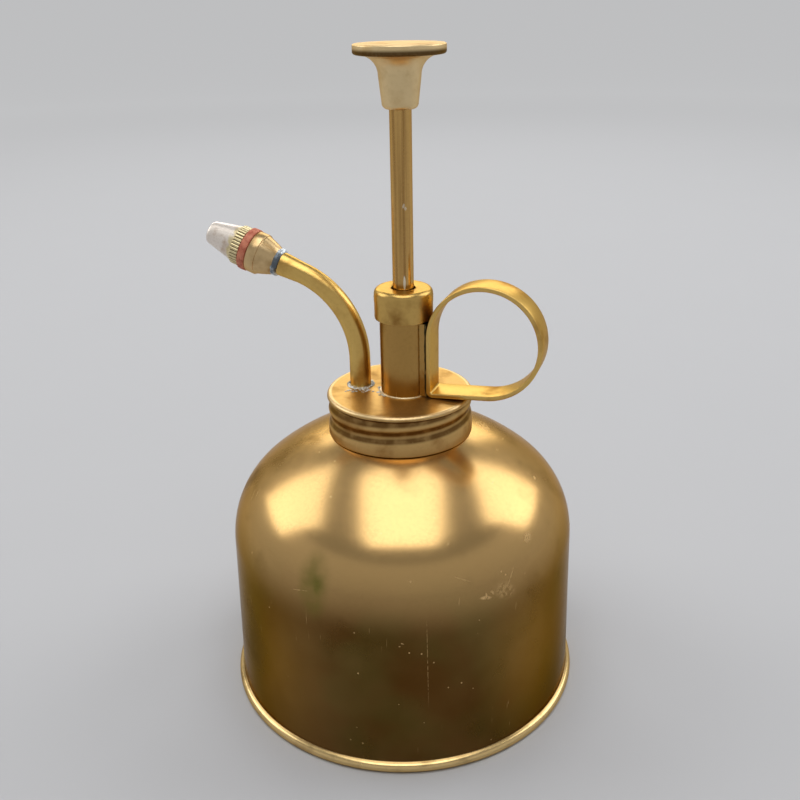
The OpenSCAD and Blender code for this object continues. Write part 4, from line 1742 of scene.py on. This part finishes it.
@dataclass
class Studio:
    """The pale floor, the soft lamps and the camera."""

    aim: Vector = field(default_factory=lambda: Vector((0.0, 0.0, 0.06)))
    world: float = 0.3
    floor_colour: Colour = (0.55, 0.55, 0.56)
    floor_radius: float = 1500.0
    sweep_radius: float = 900.0
    wall_height: float = 1700.0
    backdrop_from: Point = (250.0, 1500.0)
    backdrop_level: float = 0.52
    backdrop_colour: Colour = (0.98, 0.985, 1.0)
    mottle: float = 0.985
    world_colour: Colour = (0.96, 0.98, 1.0)
    camera_at: tuple[float, float, float] = (0.0720, -0.1979, 0.1681)
    heading: tuple[float, float] = (-0.342, 0.940)
    pitch: float = 23.677
    roll: float = -1.105
    lens: float = 42.26
    sensor: float = 36.0
    nearest: float = 0.01
    lamps: tuple[Lamp, ...] = (
        Lamp("front_softbox", -70, 80, 1.25, 0.95, 1.20, 8.0),
        Lamp("left_softbox", -178, 35, 1.2, 0.75, 0.75, 3.6),
        Lamp("right_softbox", 40, 35, 1.2, 0.75, 0.75, 3.9),
        Lamp("back_softbox", 110, 25, 1.3, 1.35, 0.55, 5.0),
    )

    def floor(self) -> None:
        """Models the round floor, swept up into a wall that glows only for rays that see it."""
        flat, curve = self.floor_radius, self.sweep_radius
        outline = (
            [(0, 0), (flat * 0.4, 0)]
            + arc((flat, curve), curve, -90, 0, 20)
            + [(flat + curve, self.wall_height)]
        )
        floor = turn("floor", outline, closed=False, steps=96)
        with editing(floor):
            bpy.ops.mesh.flip_normals()
        smooth(floor, 60)
        shader = Shader("pale_floor")
        tone = shader.noise(60, 3)
        darker = tuple(c * self.mottle for c in self.floor_colour)
        path = shader.node("ShaderNodeLightPath")
        seen = shader.most(path.outputs["Is Camera Ray"], path.outputs["Is Glossy Ray"])
        seen = shader.most(seen, path.outputs["Is Transmission Ray"])
        near, far = self.backdrop_from
        faded = shader.ranged(shader.axis_distance(), near * MM, far * MM)
        backdrop = shader.times(seen, faded)
        lit = shader.mixed(tone, self.floor_colour, darker)
        shader.skin_value("Base Color", shader.mixed(backdrop, lit, (0, 0, 0)))
        shader.skin_value("Emission Color", self.backdrop_colour)
        glow = shader.times(backdrop, self.backdrop_level)
        shader.skin_value("Emission Strength", glow)
        shader.skin_value("Roughness", 0.75)
        shader.skin_value("Specular IOR Level", 0.15)
        dress(floor, shader.material)

    def light(self) -> None:
        """Hangs the lamps and sets the world."""
        for lamp in self.lamps:
            turned, lifted = math.radians(lamp.azimuth), math.radians(lamp.elevation)
            way = Vector(
                (math.cos(turned) * math.cos(lifted), math.sin(turned) * math.cos(lifted), math.sin(lifted))
            )
            bpy.ops.object.light_add(type="AREA", location=self.aim + way * lamp.distance)
            made = bpy.context.active_object
            made.name = lamp.name
            made.rotation_euler = (-way).to_track_quat("-Z", "Y").to_euler()
            made.data.shape = "RECTANGLE"
            made.data.size, made.data.size_y = lamp.width, lamp.height
            made.data.energy = lamp.power
            made.visible_camera = False
        world = bpy.data.worlds.new("studio")
        world.use_nodes = True
        sky = world.node_tree.nodes["Background"]
        sky.inputs["Color"].default_value = (*self.world_colour, 1)
        sky.inputs["Strength"].default_value = self.world
        bpy.context.scene.world = world

    def camera(self) -> None:
        """Sets up the camera."""
        pitch, roll = math.radians(self.pitch), math.radians(self.roll)
        level = Vector((*self.heading, 0)).normalized()
        ahead = level * math.cos(pitch) + Vector((0, 0, -math.sin(pitch)))
        side = ahead.cross(Vector((0, 0, 1))).normalized()
        upright = side.cross(ahead)
        right = side * math.cos(roll) + upright * math.sin(roll)
        above = upright * math.cos(roll) - side * math.sin(roll)
        turned = Matrix((right, above, -ahead)).transposed().to_4x4()
        bpy.ops.object.camera_add()
        made = bpy.context.active_object
        made.matrix_world = Matrix.Translation(Vector(self.camera_at)) @ turned
        made.data.sensor_width = self.sensor
        made.data.lens = self.lens
        made.data.clip_start = self.nearest
        bpy.context.scene.camera = made

    def build(self) -> None:
        """Sets up the floor, the lamps and the camera."""
        self.floor()
        self.light()
        self.camera()
        bpy.context.scene.view_settings.view_transform = "Standard"


def main() -> None:
    """Builds the mister in its studio."""
    logging.basicConfig(level=logging.INFO, format="%(name)s: %(message)s")
    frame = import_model()
    clear_selection()
    Studio().build()
    Bottle(frame["nodes"]).build()
    ScrewCap().build()
    Pump().build()
    FingerRing().build()
    spout = Spout()
    spout.build()
    Nozzle(at=spout.nozzle_at, turn_deg=spout.turn_deg).build()
    Plunger().build()
    Works(frame["nodes"]).build()


if __name__ == "__main__":
    main()
